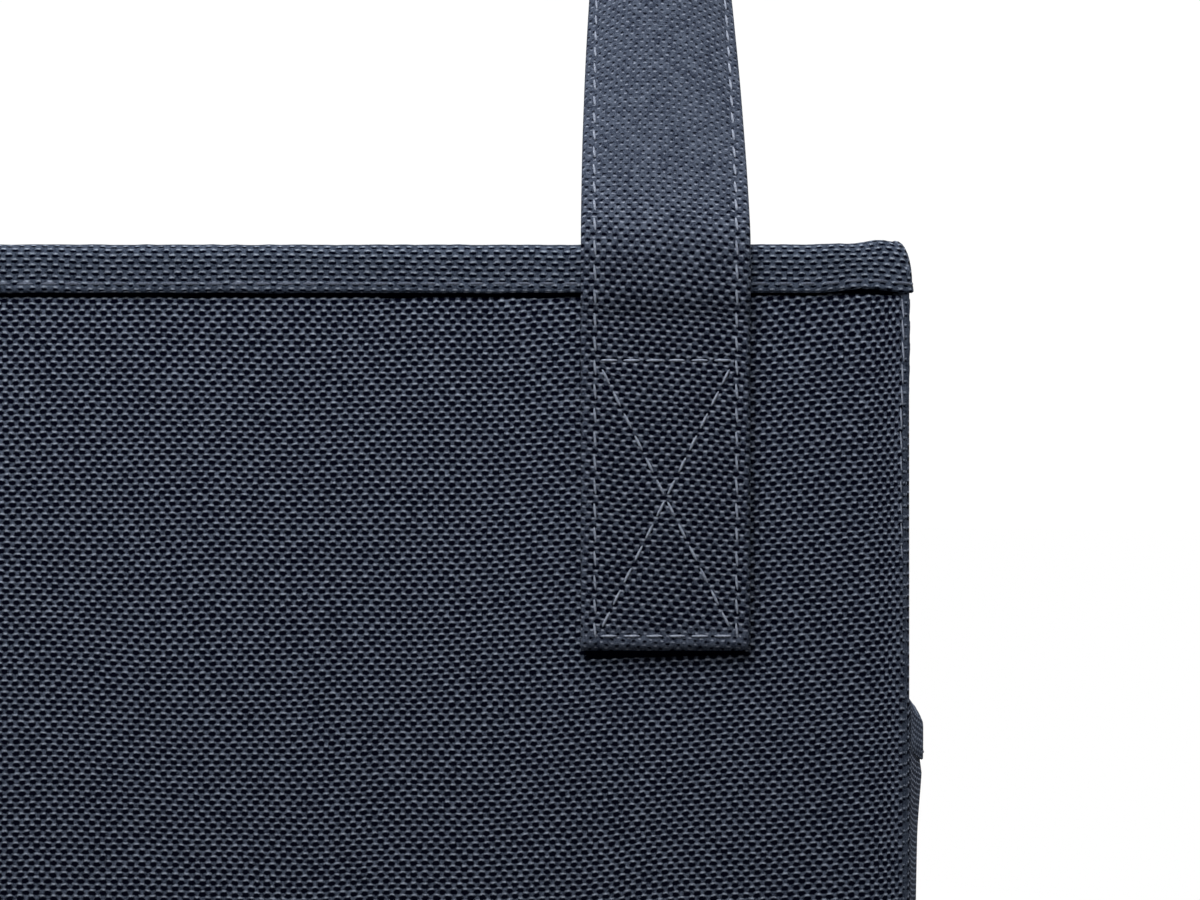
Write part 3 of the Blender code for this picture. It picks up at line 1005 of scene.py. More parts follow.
@dataclass(frozen=True)
class Seams:
    """The rolled seams up the corners, with their thread, and round the base.

    Attributes:
        form: The bag's skin.
        sides: Sides of the roll's section.
        fill: The roll's radius, as a share of the seam's.
        waver: How far the roll strays.
        base_corner: Radius of the base seam's corners.
    """

    form: BagForm
    sides: int = 14
    fill: float = 0.9
    waver: float = 0.18 * MM
    base_corner: float = 3.0 * MM

    def roll(self, name: str, node: str, middle: Sequence[Vector], out: Sequence[Vector], ring: bool) -> None:
        """Makes a roll of cloth along a line.

        Args:
            name: The piece's name.
            node: The CAD node that it stands for.
            middle: The roll's middle line.
            out: At each point of it, the way out of the bag, square to the line.
            ring: Whether the line closes on itself.
        """
        radius = self.form.seam * self.fill
        us = [2 * math.pi * radius * side / self.sides for side in range(self.sides + 1)]
        vs = run_lengths(middle)
        last = len(middle) - 1

        def place(i: int, j: int) -> Vector:
            """A point of the roll, a little flatter where it meets the panels.

            Args:
                i: Which side of the roll's section.
                j: Which point of the line.

            Returns:
                The point.
            """
            ahead = middle[min(j + 1, last)] - middle[max(j - 1, 0)]
            if ring and j in (0, last):
                ahead = middle[1] - middle[last - 1]
            side = ahead.cross(out[j]).normalized()
            angle = 2 * math.pi * (i % self.sides) / self.sides
            seed = middle[0 if ring and j == last else j]
            reach = radius * (1 + 0.10 * drift(seed, 0.006, angle * 0.3))
            return middle[j] + out[j] * math.cos(angle) * reach + side * math.sin(angle) * reach

        shape = cloth_grid(us, vs, place, lambda i, j: 0.7, closed=True)
        piece = make_piece(name, shape, BINDING_CLOTH, Slot.BINDING, [node])
        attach(piece, BAG)

    def corner(self, sign_x: int, sign_y: int) -> None:
        """Makes one corner seam and its thread.

        Args:
            sign_x: 1 for the right end, -1 for the left.
            sign_y: 1 for the back, -1 for the front.
        """
        depth = "front" if sign_y < 0 else "back"
        hand = "left" if sign_x < 0 else "right"
        node = f"{depth}_{hand}_corner_seam"
        lo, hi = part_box(node)
        heights = spaced(lo.z, hi.z - 3.0 * MM, 1.5 * MM)
        out = Vector((sign_x, sign_y, 0.0)).normalized()

        def middle(z: float) -> Vector:
            """The roll's middle, which strays a little and flares out under the binding.

            Args:
                z: Height.

            Returns:
                The point.
            """
            stray = self.waver * drift(Vector((sign_x, sign_y, z / 0.02)), 1.0, 2.0) - 0.42 * MM
            flare = 0.55 * MM * ease((z - self.form.rim_low + 32 * MM) / (30 * MM))
            return Vector(((lo.x + hi.x) / 2, (lo.y + hi.y) / 2, z)) + out * (stray + flare)

        line = [middle(z) for z in heights]
        self.roll(f"{node}_roll", node, line, [out] * len(line), ring=False)
        shape = bmesh.new()
        thread = Stitch(length=3.7 * MM, pitch=3.9 * MM, width=0.36 * MM, slant=5.0)
        for wall in Wall:
            if wall.outward.dot(out) <= 0:
                continue
            inward = -wall.rightward if wall.rightward.dot(out) > 0 else wall.rightward
            # On the long walls the thread lies nearly on the roll's crest, on the ends further round it
            lean = (wall.outward * 0.98 + inward * (0.60 if wall.is_end else 0.20)).normalized()

            def track(z: float) -> tuple[Vector, Vector]:
                """Up the side of the roll that faces this wall.

                Args:
                    z: Height.

                Returns:
                    The point and the surface's normal.
                """
                weave = 0.16 * MM * drift(Vector((0.0, 0.0, z)), 0.006, sign_x + 2.0 * sign_y)
                sunk = 0.30 * MM * (1 - ease((z - 160 * MM) / (40 * MM)))
                return middle(z) + lean * (self.form.seam + 0.02 * MM - sunk) + inward * weave, lean

            thread.sew(shape, track, heights[0] + 2 * MM, self.form.rim_low - 1 * MM)
        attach(make_stitches(f"{node}_thread", shape, THREAD), BAG)

    def base(self) -> None:
        """Makes the seam round the base."""
        lo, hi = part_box("base_seam")
        radius = self.form.seam
        line, outs = [], []
        for point, normal in rounded_ring(hi.x - radius, hi.y - radius, self.base_corner, 4 * MM, 6):
            line.append(Vector((point.x, point.y, lo.z + radius)))
            outs.append(normal)
        self.roll("base_seam_roll", "base_seam", line, outs, ring=True)

    def build(self) -> None:
        """Makes all five seams."""
        for sign_x in (-1, 1):
            for sign_y in (-1, 1):
                self.corner(sign_x, sign_y)
        self.base()


def rounded_ring(
    half_x: float, half_y: float, radius: float, step: float, corner_steps: int,
) -> list[tuple[Vector, Vector]]:
    """Points round a rectangle with rounded corners, anticlockwise, the first one repeated at the end.

    Args:
        half_x: Half its width.
        half_y: Half its depth.
        radius: Radius of its corners.
        step: Spacing of the points along its sides.
        corner_steps: Steps round each corner.

    Returns:
        Each point with the outward normal there.
    """
    ring = []
    corners = ((1, 1), (-1, 1), (-1, -1), (1, -1))
    for quarter, (sign_x, sign_y) in enumerate(corners):
        centre = Vector((sign_x * (half_x - radius), sign_y * (half_y - radius), 0.0))
        for index in range(corner_steps + 1):
            angle = (quarter + index / corner_steps) * math.pi / 2
            normal = Vector((math.cos(angle), math.sin(angle), 0.0))
            ring.append((centre + normal * radius, normal))
        span = 2 * ((half_x if quarter % 2 == 0 else half_y) - radius)
        count = round(span / step)
        start, normal = ring[-1]
        ahead = Vector((-normal.y, normal.x, 0.0))
        ring += [(start + ahead * span * index / count, normal) for index in range(1, count)]
    return [*ring, ring[0]]


@dataclass(frozen=True)
class RimBinding:
    """The strip of cloth folded over the top of the walls and sewn through, with softly rounded corners.

    Attributes:
        form: The bag's skin.
        thick: Thickness of the strip.
        stand: How far its outer face stands off the walls.
        arch: Height of the fold over the wall's top.
        corner_arch: Height of the fold at a corner, where the strip slumps.
        corner: Radius of the corners, seen from above.
        top_rise: How far the fold rises just before a corner.
        edge_rise: How far the lower edge is drawn up there.
        rough: How rough the fold is, from yarn to yarn.
    """

    form: BagForm
    thick: float = 0.6 * MM
    stand: float = 0.55 * MM
    arch: float = 3.0 * MM
    corner_arch: float = 7.2 * MM
    corner: float = 3.0 * MM
    top_rise: float = 0.7 * MM
    edge_rise: float = 0.65 * MM
    rough: float = 0.16 * MM

    def section(self, width: float, slump: float) -> list[tuple[float, float]]:
        """The strip's middle line, as distance in from its outer face and height below its top.

        Args:
            width: Width of the folded strip over all.
            slump: From 0 on a straight side to 1 at a corner.

        Returns:
            Its points, from the outer lower edge over the top to the inner one.
        """
        half = (width - self.thick) / 2
        arch = self.arch + (self.corner_arch - self.arch) * slump
        power = 2.4 - 0.4 * slump
        drop = self.form.rim_top - self.form.rim_low
        points = []
        for share in (0.0, 0.15, 0.35, 0.6, 0.8):
            below = drop - share * (drop - arch)
            flare = 0.22 * MM * (1 - ease((drop - below) / (2.0 * MM)))
            points.append((self.thick / 2 - flare, -below))
        for index in range(17):
            angle = math.pi * (1 - index / 16)
            cosine, sine = math.cos(angle), math.sin(angle)
            across = math.copysign(abs(cosine) ** (2 / power), cosine)
            up = (arch - self.thick / 2) * sine ** (2 / power)
            points.append((half * (1 + across) + self.thick / 2, up - arch))
        inner = width - self.thick / 2
        points += [(inner, -(drop - share * (drop - arch))) for share in (0.8, 0.5, 0.25, 0.0)]
        return points

    def build(self) -> None:
        """Makes the strip and its row of stitches."""
        half_x, half_y = self.form.half_width + self.stand, self.form.half_depth + self.stand
        outer = rounded_ring(half_x, half_y, self.corner, 2 * MM, 8)
        width = self.stand + self.form.wall_thick + GAP + self.thick
        shares = self.corner_shares(outer)
        along = run_lengths([point for point, _ in outer])
        loops = [tape_loop(self.section(width, shares[j]), self.thick) for j in range(len(outer))]
        us = run_lengths(loops[0])
        runs = [run_lengths(loop) for loop in loops]

        def place(i: int, j: int) -> Vector:
            """A point of the strip's outline at a station of the ring.

            Args:
                i: Which point of the outline.
                j: Which station of the ring.

            Returns:
                The point.
            """
            j = 0 if j == len(outer) - 1 else j
            start = outer[j][0]
            end = self.inner_point(start, Vector((half_x, half_y, 0.0)), width)
            across, height = loops[j][0 if i == len(us) - 1 else i]
            low_edge = ease(-height / (8 * MM))
            waver = 0.16 * MM * drift(start, 0.008, 4.0) * low_edge
            # The top rises a little before a corner and slumps over it
            far = self.to_corner(start)
            lift = self.top_rise * bump_at(far, 3 * MM, 3.5 * MM) + 0.25 * MM * bump_at(far, 8 * MM, 9 * MM)
            rough = self.rough * drift(start, 0.0018, 7.0)
            height += waver + (lift + rough) * (1 - low_edge)
            height += self.edge_lift(start) * low_edge
            point = start + (end - start) * (across / width)
            return Vector((point.x, point.y, self.form.rim_top + height))

        def press_and_painted_shadow(i: int, j: int) -> float:
            """Tight over the top and flat along the sewn lower edge."""
            height = -loops[j][i][1]
            return 0.35 * (1 - ease(height / (2.2 * MM))) + 0.25 * ease((height - 6.6 * MM) / (0.6 * MM))

        def lie(i: int, j: int) -> tuple[float, float]:
            """The strip is flat cloth, so each station keeps its own lengths from the lower edge up."""
            return runs[j][i], along[j]

        shape = cloth_grid(us, along, place, press_and_painted_shadow, closed=True, turned=True, lie=lie)
        piece = make_piece("rim_binding_cloth", shape, BINDING_CLOTH, Slot.BINDING, ["rim_binding"])
        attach(piece, BAG)
        self.sew(outer, along)

    def edge_lift(self, point: Vector) -> float:
        """How far the strip's lower edge is drawn up near a corner."""
        return self.edge_rise * bump_at(self.to_corner(point), 8 * MM, 5 * MM)

    def to_corner(self, point: Vector) -> float:
        """How far along its side a point is from the nearest corner.

        Args:
            point: The point.

        Returns:
            The distance.
        """
        gap_x = self.form.half_width - abs(point.x)
        gap_y = self.form.half_depth - abs(point.y)
        return max(gap_x, gap_y)

    def corner_shares(self, ring: Sequence[tuple[Vector, Vector]]) -> list[float]:
        """How far each station is into a corner, from 0 to 1."""
        return [1 - ease((self.to_corner(point) - 5 * MM) / (8 * MM)) for point, _ in ring]

    @staticmethod
    def inner_point(point: Vector, outside: Vector, width: float) -> Vector:
        """The point across the wall from a point of the outer ring, with the corner's pleats spread out.

        Args:
            point: The point of the outer ring.
            outside: Half the ring's width and depth.
            width: Width of the folded strip over all.

        Returns:
            The point on the strip's inner side.
        """
        spread = 14.0 * MM
        inner = []
        for value, limit in zip(point.xy, outside.xy):
            from_end = limit - abs(value)
            kept = from_end * (spread - width) / spread if from_end < spread else from_end - width
            inner.append(math.copysign(limit - width - kept, value))
        return Vector((*inner, 0.0))

    def sew(self, ring: Sequence[tuple[Vector, Vector]], along: Sequence[float]) -> None:
        """Sews the strip's outer lower edge with thread of its own colour.

        Args:
            ring: The outer face's points, each with its normal.
            along: Distance round the ring, at each of them.
        """
        shape = bmesh.new()
        height = self.form.rim_low + 1.35 * MM
        flat = Stitch(length=3.5 * MM, pitch=4.2 * MM, width=0.75 * MM, slant=0.0)

        def track(distance: float) -> tuple[Vector, Vector]:
            """Round the outer face.

            Args:
                distance: How far round.

            Returns:
                The point and the surface's normal.
            """
            distance %= along[-1]
            index = next(k for k in range(1, len(along)) if along[k] >= distance)
            share = (distance - along[index - 1]) / (along[index] - along[index - 1])
            point = ring[index - 1][0].lerp(ring[index][0], share)
            normal = ring[index - 1][1].lerp(ring[index][1], share).normalized()
            spot = Vector((point.x, point.y, height + self.edge_lift(point)))
            return spot - normal * 0.20 * MM, normal

        flat.sew(shape, track, 0.0, along[-1])
        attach(make_stitches("rim_binding_stitches", shape, TONAL_THREAD), BAG)


@dataclass(frozen=True)
class SidePockets:
    """A pocket on each end wall, sewn in at the corner seams, gaping and sagging at its mouth.

    Attributes:
        form: The bag's skin.
        height: Where its mouth is, at the corners.
        bulge: How far its mouth gapes.
        taper: How quickly the gape grows from the base up.
        sag: How far its mouth hangs in the middle.
        flare: How much further its binding gapes than the cloth below.
        waver: How far its cloth is out of an even curve.
        binding_drop: Height of the folded binding on its mouth.
        binding_thick: Thickness of the binding.
        cloth_thick: Thickness of the pocket's cloth.
    """

    form: BagForm
    height: float = 159.0 * MM
    bulge: float = 7.6 * MM
    taper: float = 0.8
    sag: float = 7.0 * MM
    flare: float = 0.5 * MM
    waver: float = 0.5 * MM
    binding_drop: float = 8.0 * MM
    binding_thick: float = 0.5 * MM
    cloth_thick: float = 0.9 * MM

    @property
    def half_span(self) -> float:
        """Half the pocket's width, up to the corner seams."""
        return self.form.half_depth - 2 * self.form.seam - GAP

    def spot(self, wall: Wall, along: float, z: float, extra: float) -> Vector:
        """A point of the pocket, or of a layer on it.

        Args:
            wall: Which end wall.
            along: Distance to the right of the pocket's middle.
            z: Height before the mouth sags.
            extra: How far out of the pocket's inner line.

        Returns:
            The point.
        """
        straight_from = self.height - self.binding_drop - 2 * GAP
        share = min((z - self.form.low) / (straight_from - self.form.low), 1.0)
        slack = 1 - (along / self.half_span) ** 2
        # The layers draw together into the corner seams
        drawn = 0.15 + 0.85 * ease((self.half_span - abs(along)) / (18 * MM))
        flare = self.flare * ease((z - self.height + 18 * MM) / (14 * MM))
        out = (self.bulge * share ** self.taper + flare) * slack + extra * drawn
        seed = 20.0 + wall.value[0]
        out += self.waver * slack * share * drift(Vector((along, 0.0, z)), 0.035, seed)
        hang = self.sag * share ** 2 * (1 - (along / self.half_span) ** 6)
        return self.form.at(wall, along, z - hang, out)

    def cloth(self, wall: Wall) -> None:
        """Lays the pocket's cloth.

        Args:
            wall: Which end wall.
        """
        us = spaced(-self.half_span, self.half_span, 2.5 * MM)
        vs = spaced(self.form.low, self.height - self.binding_thick - GAP, 2.5 * MM)
        inside = self.binding_thick + self.cloth_thick + 0.05 * MM
        low = self.height - self.binding_drop

        def place(i: int, j: int) -> Vector:
            """A point of the cloth's outer face, a little fuller below its binding.

            Args:
                i: The column.
                j: The row.

            Returns:
                The point.
            """
            below = low - vs[j]
            full = 0.45 * MM * ease(below / (2 * MM)) * (1 - ease((below - 2 * MM) / (14 * MM)))
            return self.spot(wall, us[i], vs[j], inside + full)

        shape = cloth_grid(us, vs, place)
        node = f"{wall.label}_side_pocket"
        piece = make_piece(f"{node}_cloth", shape, OUTER_CLOTH, Slot.OUTER, [node], self.cloth_thick)
        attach(piece, BAG)

    def binding(self, wall: Wall) -> None:
        """Folds the binding over the pocket's mouth, and sews it.

        Args:
            wall: Which end wall.
        """
        us_along = spaced(-self.half_span, self.half_span, 2.0 * MM)
        full = 2 * self.binding_thick + self.cloth_thick + 0.15 * MM
        levels = (1.0, 0.75, 0.5, 0.3)
        loop = folded_tape(full, self.binding_drop, self.binding_thick, levels, 1.7 * MM, 1.35 * MM)
        us = run_lengths(loop)

        def place(i: int, j: int) -> Vector:
            """A point of the binding's outline at a place along the mouth.

            Args:
                i: Which point of the outline.
                j: Which place along the mouth.

            Returns:
                The point.
            """
            out, height = loop[0 if i == len(us) - 1 else i]
            wave = 0.12 * MM * drift(Vector((us_along[j], 0.0, height)), 0.006, 5.0)
            return self.spot(wall, us_along[j], self.height + height + wave, out)

        shape = cloth_grid(us, us_along, place, lambda i, j: 0.3, closed=True, turned=True)
        node = f"{wall.label}_pocket_binding"
        piece = make_piece(f"{node}_cloth", shape, BINDING_CLOTH, Slot.BINDING, [node])
        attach(piece, BAG)
        sewing = bmesh.new()

        def track(along: float) -> tuple[Vector, Vector]:
            """Along the binding's lower edge, outside.

            Args:
                along: Distance to the right of the mouth's middle.

            Returns:
                The point and the surface's normal.
            """
            low = self.height - self.binding_drop + 1.3 * MM
            spot = self.spot(wall, along, low, full - 0.12 * MM)
            return spot, wall.outward

        # The row stops short of the corner seams, where the layers draw together
        reach = self.half_span - 14 * MM
        Stitch(length=3.4 * MM, width=0.5 * MM, slant=0.0).sew(sewing, track, -reach, reach)
        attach(make_stitches(f"{node}_stitches", sewing, TONAL_THREAD), BAG)

    def build(self) -> None:
        """Makes both pockets."""
        for wall in (Wall.LEFT, Wall.RIGHT):
            self.cloth(wall)
            self.binding(wall)


@dataclass(frozen=True)
class InnerPockets:
    """A row of tool pockets inside each long wall, swelling into the bag between their seams.

    Attributes:
        form: The bag's skin.
        height: Where the mouths are.
        bulge: How far a mouth swells.
        count: Pockets in a row.
        width: Width of each.
        fullness: Share of the swell at the floor, half way up and at the mouth.
        thick: Thickness of their cloth.
        binding_drop: Height of the binding on their mouths.
        binding_thick: Thickness of that binding.
    """

    form: BagForm
    height: float = 165.0 * MM
    bulge: float = 14.0 * MM
    count: int = 4
    width: float = 70.0 * MM
    fullness: tuple[float, float, float] = (0.6, 0.85, 1.0)
    thick: float = 0.8 * MM
    binding_drop: float = 8.0 * MM
    binding_thick: float = 0.7 * MM

    @property
    def half_row(self) -> float:
        """Half the length of a row."""
        return self.count * self.width / 2

    @property
    def face(self) -> float:
        """How far the cloth's face is off the pockets' line."""
        return self.binding_thick + 2 * GAP + self.thick

    def spot(self, wall: Wall, along: float, z: float, floor: float, extra: float) -> Vector:
        """A point of the row of pockets, or of a layer on it.

        Args:
            wall: Which long wall.
            along: Distance to the right of its middle, seen from outside.
            z: Height.
            floor: Height of the pockets' lower edge.
            extra: How far off the pockets' line, into the bag.

        Returns:
            The point.
        """
        low = self.height - self.binding_drop
        share = min(max((z - floor) / (low - floor), 0.0), 1.0)
        at_floor, half_way, at_mouth = self.fullness
        if share < 0.5:
            fullness = at_floor + (half_way - at_floor) * share * 2
        else:
            fullness = half_way + (at_mouth - half_way) * (share * 2 - 1)
        swell = 0.5 - 0.5 * math.cos(2 * math.pi * (along + self.half_row) / self.width)
        slump = 0.6 * MM * swell * drift(Vector((along, 0.0, z)), 0.03, 40.0 + wall.value[1])
        out = -(self.form.wall_thick + GAP + extra + self.bulge * fullness * swell + slump)
        return self.form.at(wall, along, z, out)

    def row(self, wall: Wall) -> None:
        """Makes one row of pockets, with its binding and its dividing seams.

        Args:
            wall: Which long wall.
        """
        lo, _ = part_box(f"{wall.label}_inner_pockets")
        us = spaced(-self.half_row, self.half_row, 2.5 * MM)
        vs = spaced(lo.z, self.height - self.binding_thick - GAP, 4.0 * MM)
        shape = cloth_grid(us, vs, lambda i, j: self.spot(wall, us[i], vs[j], lo.z, self.face))
        bmesh.ops.reverse_faces(shape, faces=shape.faces)
        node = f"{wall.label}_inner_pockets"
        piece = make_piece(f"{node}_cloth", shape, LINING_CLOTH, Slot.LINING, [node], self.thick)
        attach(piece, BAG)
        run = run_lengths([self.spot(wall, u, self.height, lo.z, self.face) for u in us])[-1]
        self.binding(wall, us, lo.z)
        self.dividers(wall, lo.z)

    def binding(self, wall: Wall, us_along: Sequence[float], floor: float) -> None:
        """Folds the binding over the mouths of one row.

        Args:
            wall: Which long wall.
            us_along: Places along the row.
            floor: Height of the pockets' lower edge.
        """
        full = 2 * self.binding_thick + 4 * GAP + self.thick
        levels = (1.0, 0.6, 0.3)
        loop = folded_tape(full, self.binding_drop, self.binding_thick, levels, 1.6 * MM, 1.25 * MM)
        us = run_lengths(loop)

        def place(i: int, j: int) -> Vector:
            """A point of the binding's outline at a place along the mouths."""
            extra, height = loop[0 if i == len(us) - 1 else i]
            return self.spot(wall, us_along[j], self.height + height, floor, extra)

        shape = cloth_grid(us, us_along, place, lambda i, j: 0.3, closed=True, turned=True)
        node = f"{wall.label}_inner_pocket_binding"
        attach(make_piece(f"{node}_cloth", shape, BINDING_CLOTH, Slot.BINDING, [node]), BAG)

    def dividers(self, wall: Wall, floor: float) -> None:
        """Sews the pockets apart, from mouth to floor.

        Args:
            wall: Which long wall.
            floor: Height of the pockets' lower edge.
        """
        shape = bmesh.new()
        seam = Stitch(length=2.4 * MM, pitch=3.4 * MM, width=0.4 * MM)
        for index in range(self.count + 1):
            along = index * self.width - self.half_row
            along -= math.copysign(1.5 * MM, along) if index in (0, self.count) else 0.0

            def track(z: float) -> tuple[Vector, Vector]:
                """Up one seam."""
                return self.spot(wall, along, z, floor, self.face), -wall.outward

            seam.sew(shape, track, floor + 3 * MM, self.height - self.binding_drop - 1 * MM)
        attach(make_stitches(f"{wall.label}_inner_pocket_seams", shape, THREAD), BAG)

    def build(self) -> None:
        """Makes both rows."""
        for wall in (Wall.FRONT, Wall.BACK):
            self.row(wall)


# ------------------------------------------------------------------------------------------------ handles

@dataclass(frozen=True)
class Station:
    """One place along a strap.

    Attributes:
        centre: Middle of the strap there, on the front of the bag.
        side: To the right across the strap's outer face, at its rising end.
        back: Out of the strap's inner face.
        along: Distance from the strap's first end.
        past_rim: Distance of strap between here and the nearer rim crossing, 0 on a sewn end.
        height: Height on the wall, for the sewn ends.
    """

    centre: Vector
    side: Vector
    back: Vector
    along: float
    past_rim: float
    height: float


@dataclass(frozen=True)
class CarryStrap:
    """A handle: one strap of folded cloth, sewn flat to the wall at both ends, whose edges curl back.

    Attributes:
        form: The bag's skin.
        wall: The wall that it is sewn to.
        width: Width of the strap.
        thick: Thickness of the strap.
        wall_top: Height of the walls under the binding's fold.
        lean: How many degrees the loop leans in at rest.
        leg: Length of straight strap above the rim.
        rise: Height of the arch over the legs.
        curl: How many degrees each half turns back per metre of strap.
        fold_from: Distance past the rim where the strap starts to fold in half.
        grip_from: Distance past the rim where it is folded.
        grip_bend: Share of the width that is bent at the grip.
        over_binding: How far the strap stands off the wall at the rim.
        bend: Radius of the strap's bend above the rim.
        bend_from: Height where the strap starts to follow the handle when that is turned.
        bend_to: Height from which it follows the handle fully.
        tight_from: Height from which the loop's own weight draws the cloth tight.
        edge_row: From the strap's middle to the rows of stitches along its edges.
        row_dent: How deep these rows draw the strap in, on each face.
        box_dent: How deep the box stitch draws its outer face in.
    """

    form: BagForm
    wall: Wall
    width: float = 30.0 * MM
    thick: float = 2.4 * MM
    wall_top: float = 240.0 * MM
    lean: float = 31.0
    leg: float = 86.0 * MM
    rise: float = 66.0 * MM
    curl: float = 800.0
    fold_from: float = 95.0 * MM
    grip_from: float = 145.0 * MM
    grip_bend: float = 0.20
    over_binding: float = 1.0 * MM
    bend: float = 15.0 * MM
    bend_from: float = 232.0 * MM
    bend_to: float = 252.0 * MM
    tight_from: float = 222.0 * MM
    edge_row: float = 12.5 * MM
    row_dent: float = 0.20 * MM
    box_dent: float = 0.22 * MM

    @property
    def rim_z(self) -> float:
        """Height where the upright strap and the leaning loop would meet."""
        return self.wall_top + 2 * GAP + self.thick / 2 * math.sin(math.radians(self.lean))

    @property
    def bend_run(self) -> float:
        """From there to either end of the bend that rounds the corner off."""
        return self.bend * math.tan(math.radians(self.lean) / 2)

    @property
    def ahead(self) -> Vector:
        """The way the loop rises from the rim."""
        return Vector((0.0, math.sin(math.radians(self.lean)), math.cos(math.radians(self.lean))))

    def turned(self, point: Vector) -> Vector:
        """A point given for the front of the bag, moved to this strap's side."""
        return Vector((-point.x, -point.y, point.z)) if self.wall is Wall.BACK else point.copy()

    def upright_y(self, x: float, z: float) -> float:
        """Where the middle of a sewn end lies, following the wall and stepping over the binding.

        Args:
            x: Distance to the right of the bag's middle.
            z: Height.

        Returns:
            The middle's y, on the front of the bag.
        """
        swell = self.form.swell(self.wall, x, z)
        step = self.over_binding * ease((z - (self.form.rim_low - 5.5 * MM)) / (6 * MM))
        return -(self.form.half_depth + GAP + self.thick / 2 + swell + step)

    def rising(self) -> list[Station]:
        """The strap's stations from its first end to the foot of the arch.

        Returns:
            The stations.
        """
        lean = math.radians(self.lean)
        x = -self.form.hem_x
        arc_from = self.rim_z - self.bend_run
        stations = []
        side = Vector((1.0, 0.0, 0.0))
        for z in spaced(self.form.hem_z, arc_from, 0.9 * MM):
            slope = (self.upright_y(x, z + MM) - self.upright_y(x, z - MM)) / (2 * MM)
            back = Vector((0.0, 1.0, -slope)).normalized()
            stations.append(Station(Vector((x, self.upright_y(x, z), z)), side, back, 0.0, 0.0, z))
        start_y = self.upright_y(x, arc_from)
        for index in range(1, 9):
            angle = lean * index / 8
            y = start_y + self.bend * (1 - math.cos(angle))
            z = arc_from + self.bend * math.sin(angle)
            back = Vector((0.0, math.cos(angle), -math.sin(angle)))
            past = max(0.0, self.bend_run * (2 * index / 8 - 1))
            stations.append(Station(Vector((x, y, z)), side, back, 0.0, past, z))
        foot = Vector((x, start_y, self.rim_z))
        back = Vector((0.0, math.cos(lean), -math.sin(lean)))
        for past in spaced(self.bend_run, self.leg, 2.5 * MM)[1:]:
            centre = foot + self.ahead * past
            stations.append(Station(centre, side, back, 0.0, past, self.form.rim_top + past))
        return stations

    def arch(self, foot: Station) -> list[Station]:
        """The strap's stations over the arch, from one foot to the other.

        Args:
            foot: The last station below the arch.

        Returns:
            The stations after the foot.
        """
        middle = Vector((0.0, foot.centre.y, foot.centre.z))
        reach = self.form.hem_x
        steps = 110
        places = []
        for index in range(1, steps + 1):
            angle = math.pi * (1 - index / steps)
            run = Vector((reach * math.sin(angle), -self.rise * math.cos(angle))).normalized()
            sideways = Vector((reach * math.cos(angle), 0.0, 0.0))
            centre = middle + sideways + self.ahead * self.rise * math.sin(angle)
            side = Vector((run.y, 0.0, 0.0)) - self.ahead * run.x
            places.append((centre, side))
        lengths = run_lengths([foot.centre] + [centre for centre, _ in places])
        return [
            Station(centre, side, foot.back, 0.0, self.leg + min(length, lengths[-1] - length), 1.0)
            for (centre, side), length in zip(places, lengths[1:])
        ]

    def stations(self) -> list[Station]:
        """All the strap's stations, with their distances from its first end.

        Returns:
            The stations, from one sewn end to the other.
        """
        rising = self.rising()
        arch = self.arch(rising[-1])
        falling = []
        for station in reversed(rising[:-1]):
            x, y, z = -station.centre.x, station.centre.y, station.centre.z
            if z <= self.rim_z - self.bend_run:
                y = self.upright_y(x, station.height)
            falling.append(replace(station, centre=Vector((x, y, z)), side=-station.side))
        line = rising + arch + falling
        lengths = run_lengths([station.centre for station in line])
        return [replace(station, along=length) for station, length in zip(line, lengths)]

    def folded(self, across: float, past_rim: float) -> tuple[float, float]:
        """Where a point across the strap lies when its edges have curled back.

        Args:
            across: Distance from the strap's middle line, flat.
            past_rim: Distance along the strap from the rim.

        Returns:
            How far it is sideways, and how far back.
        """
        half_angle = min(math.radians(self.curl) * max(past_rim, 0.2 * MM), math.pi / 2)
        folding = ease((past_rim - self.fold_from) / (self.grip_from - self.fold_from))
        bend_share = 1 - (1 - self.grip_bend) * folding
        bent = bend_share * self.width / 2
        radius = bent / half_angle
        turned = min(abs(across), bent) / radius
        straight = max(abs(across) - bent, 0.0)
        sideways = radius * math.sin(turned) + straight * math.cos(half_angle)
        back = radius * (1 - math.cos(turned)) + straight * math.sin(half_angle)
        return math.copysign(sideways, across), back

    def surface(self, station: Station, across: float, depth: float) -> Vector:
        """A point of the strap.

        Args:
            station: Which place along it.
            across: Distance from its middle line, flat.
            depth: Distance from its middle layer, towards its inner face.

        Returns:
            The point.
        """
        sideways, back = self.folded(across, station.past_rim)
        near = self.folded(across - 0.05 * MM, station.past_rim)
        far = self.folded(across + 0.05 * MM, station.past_rim)
        run = Vector((far[0] - near[0], far[1] - near[1])).normalized()
        sideways += -run.y * depth
        back += run.x * depth
        return self.turned(station.centre + station.side * sideways + station.back * back)

    def half_thick(self, across: float, station: Station, outside: bool) -> float:
        """Half the strap's thickness, round at its edges and drawn in along its stitches.

        Args:
            across: Distance from the strap's middle line, flat.
            station: Which place along it.
            outside: Whether this is the outer face, which the box is sewn into.

        Returns:
            Half the thickness.
        """
        half = self.thick / 2
        over = abs(across) - (self.width / 2 - half)
        if over > 0:
            half *= math.sqrt(max(1 - (over / half) ** 2, 0.0))
        half -= self.row_dent * bump_at(abs(across), self.edge_row, 0.8 * MM)
        if outside and station.past_rim == 0.0:
            half -= self.box_dent * BoxStitch.nearness(across, station.height)
        end = (station.height - self.form.hem_z) / (self.thick * 0.5)
        if end < 1.0:
            half *= math.sqrt(max(1 - (1 - end) ** 2, 0.04))
        return max(half, 0.0)

    def outer_point(self, station: Station, across: float) -> Vector:
        """A point of the strap's outer face."""
        return self.surface(station, across, -self.half_thick(across, station, True))

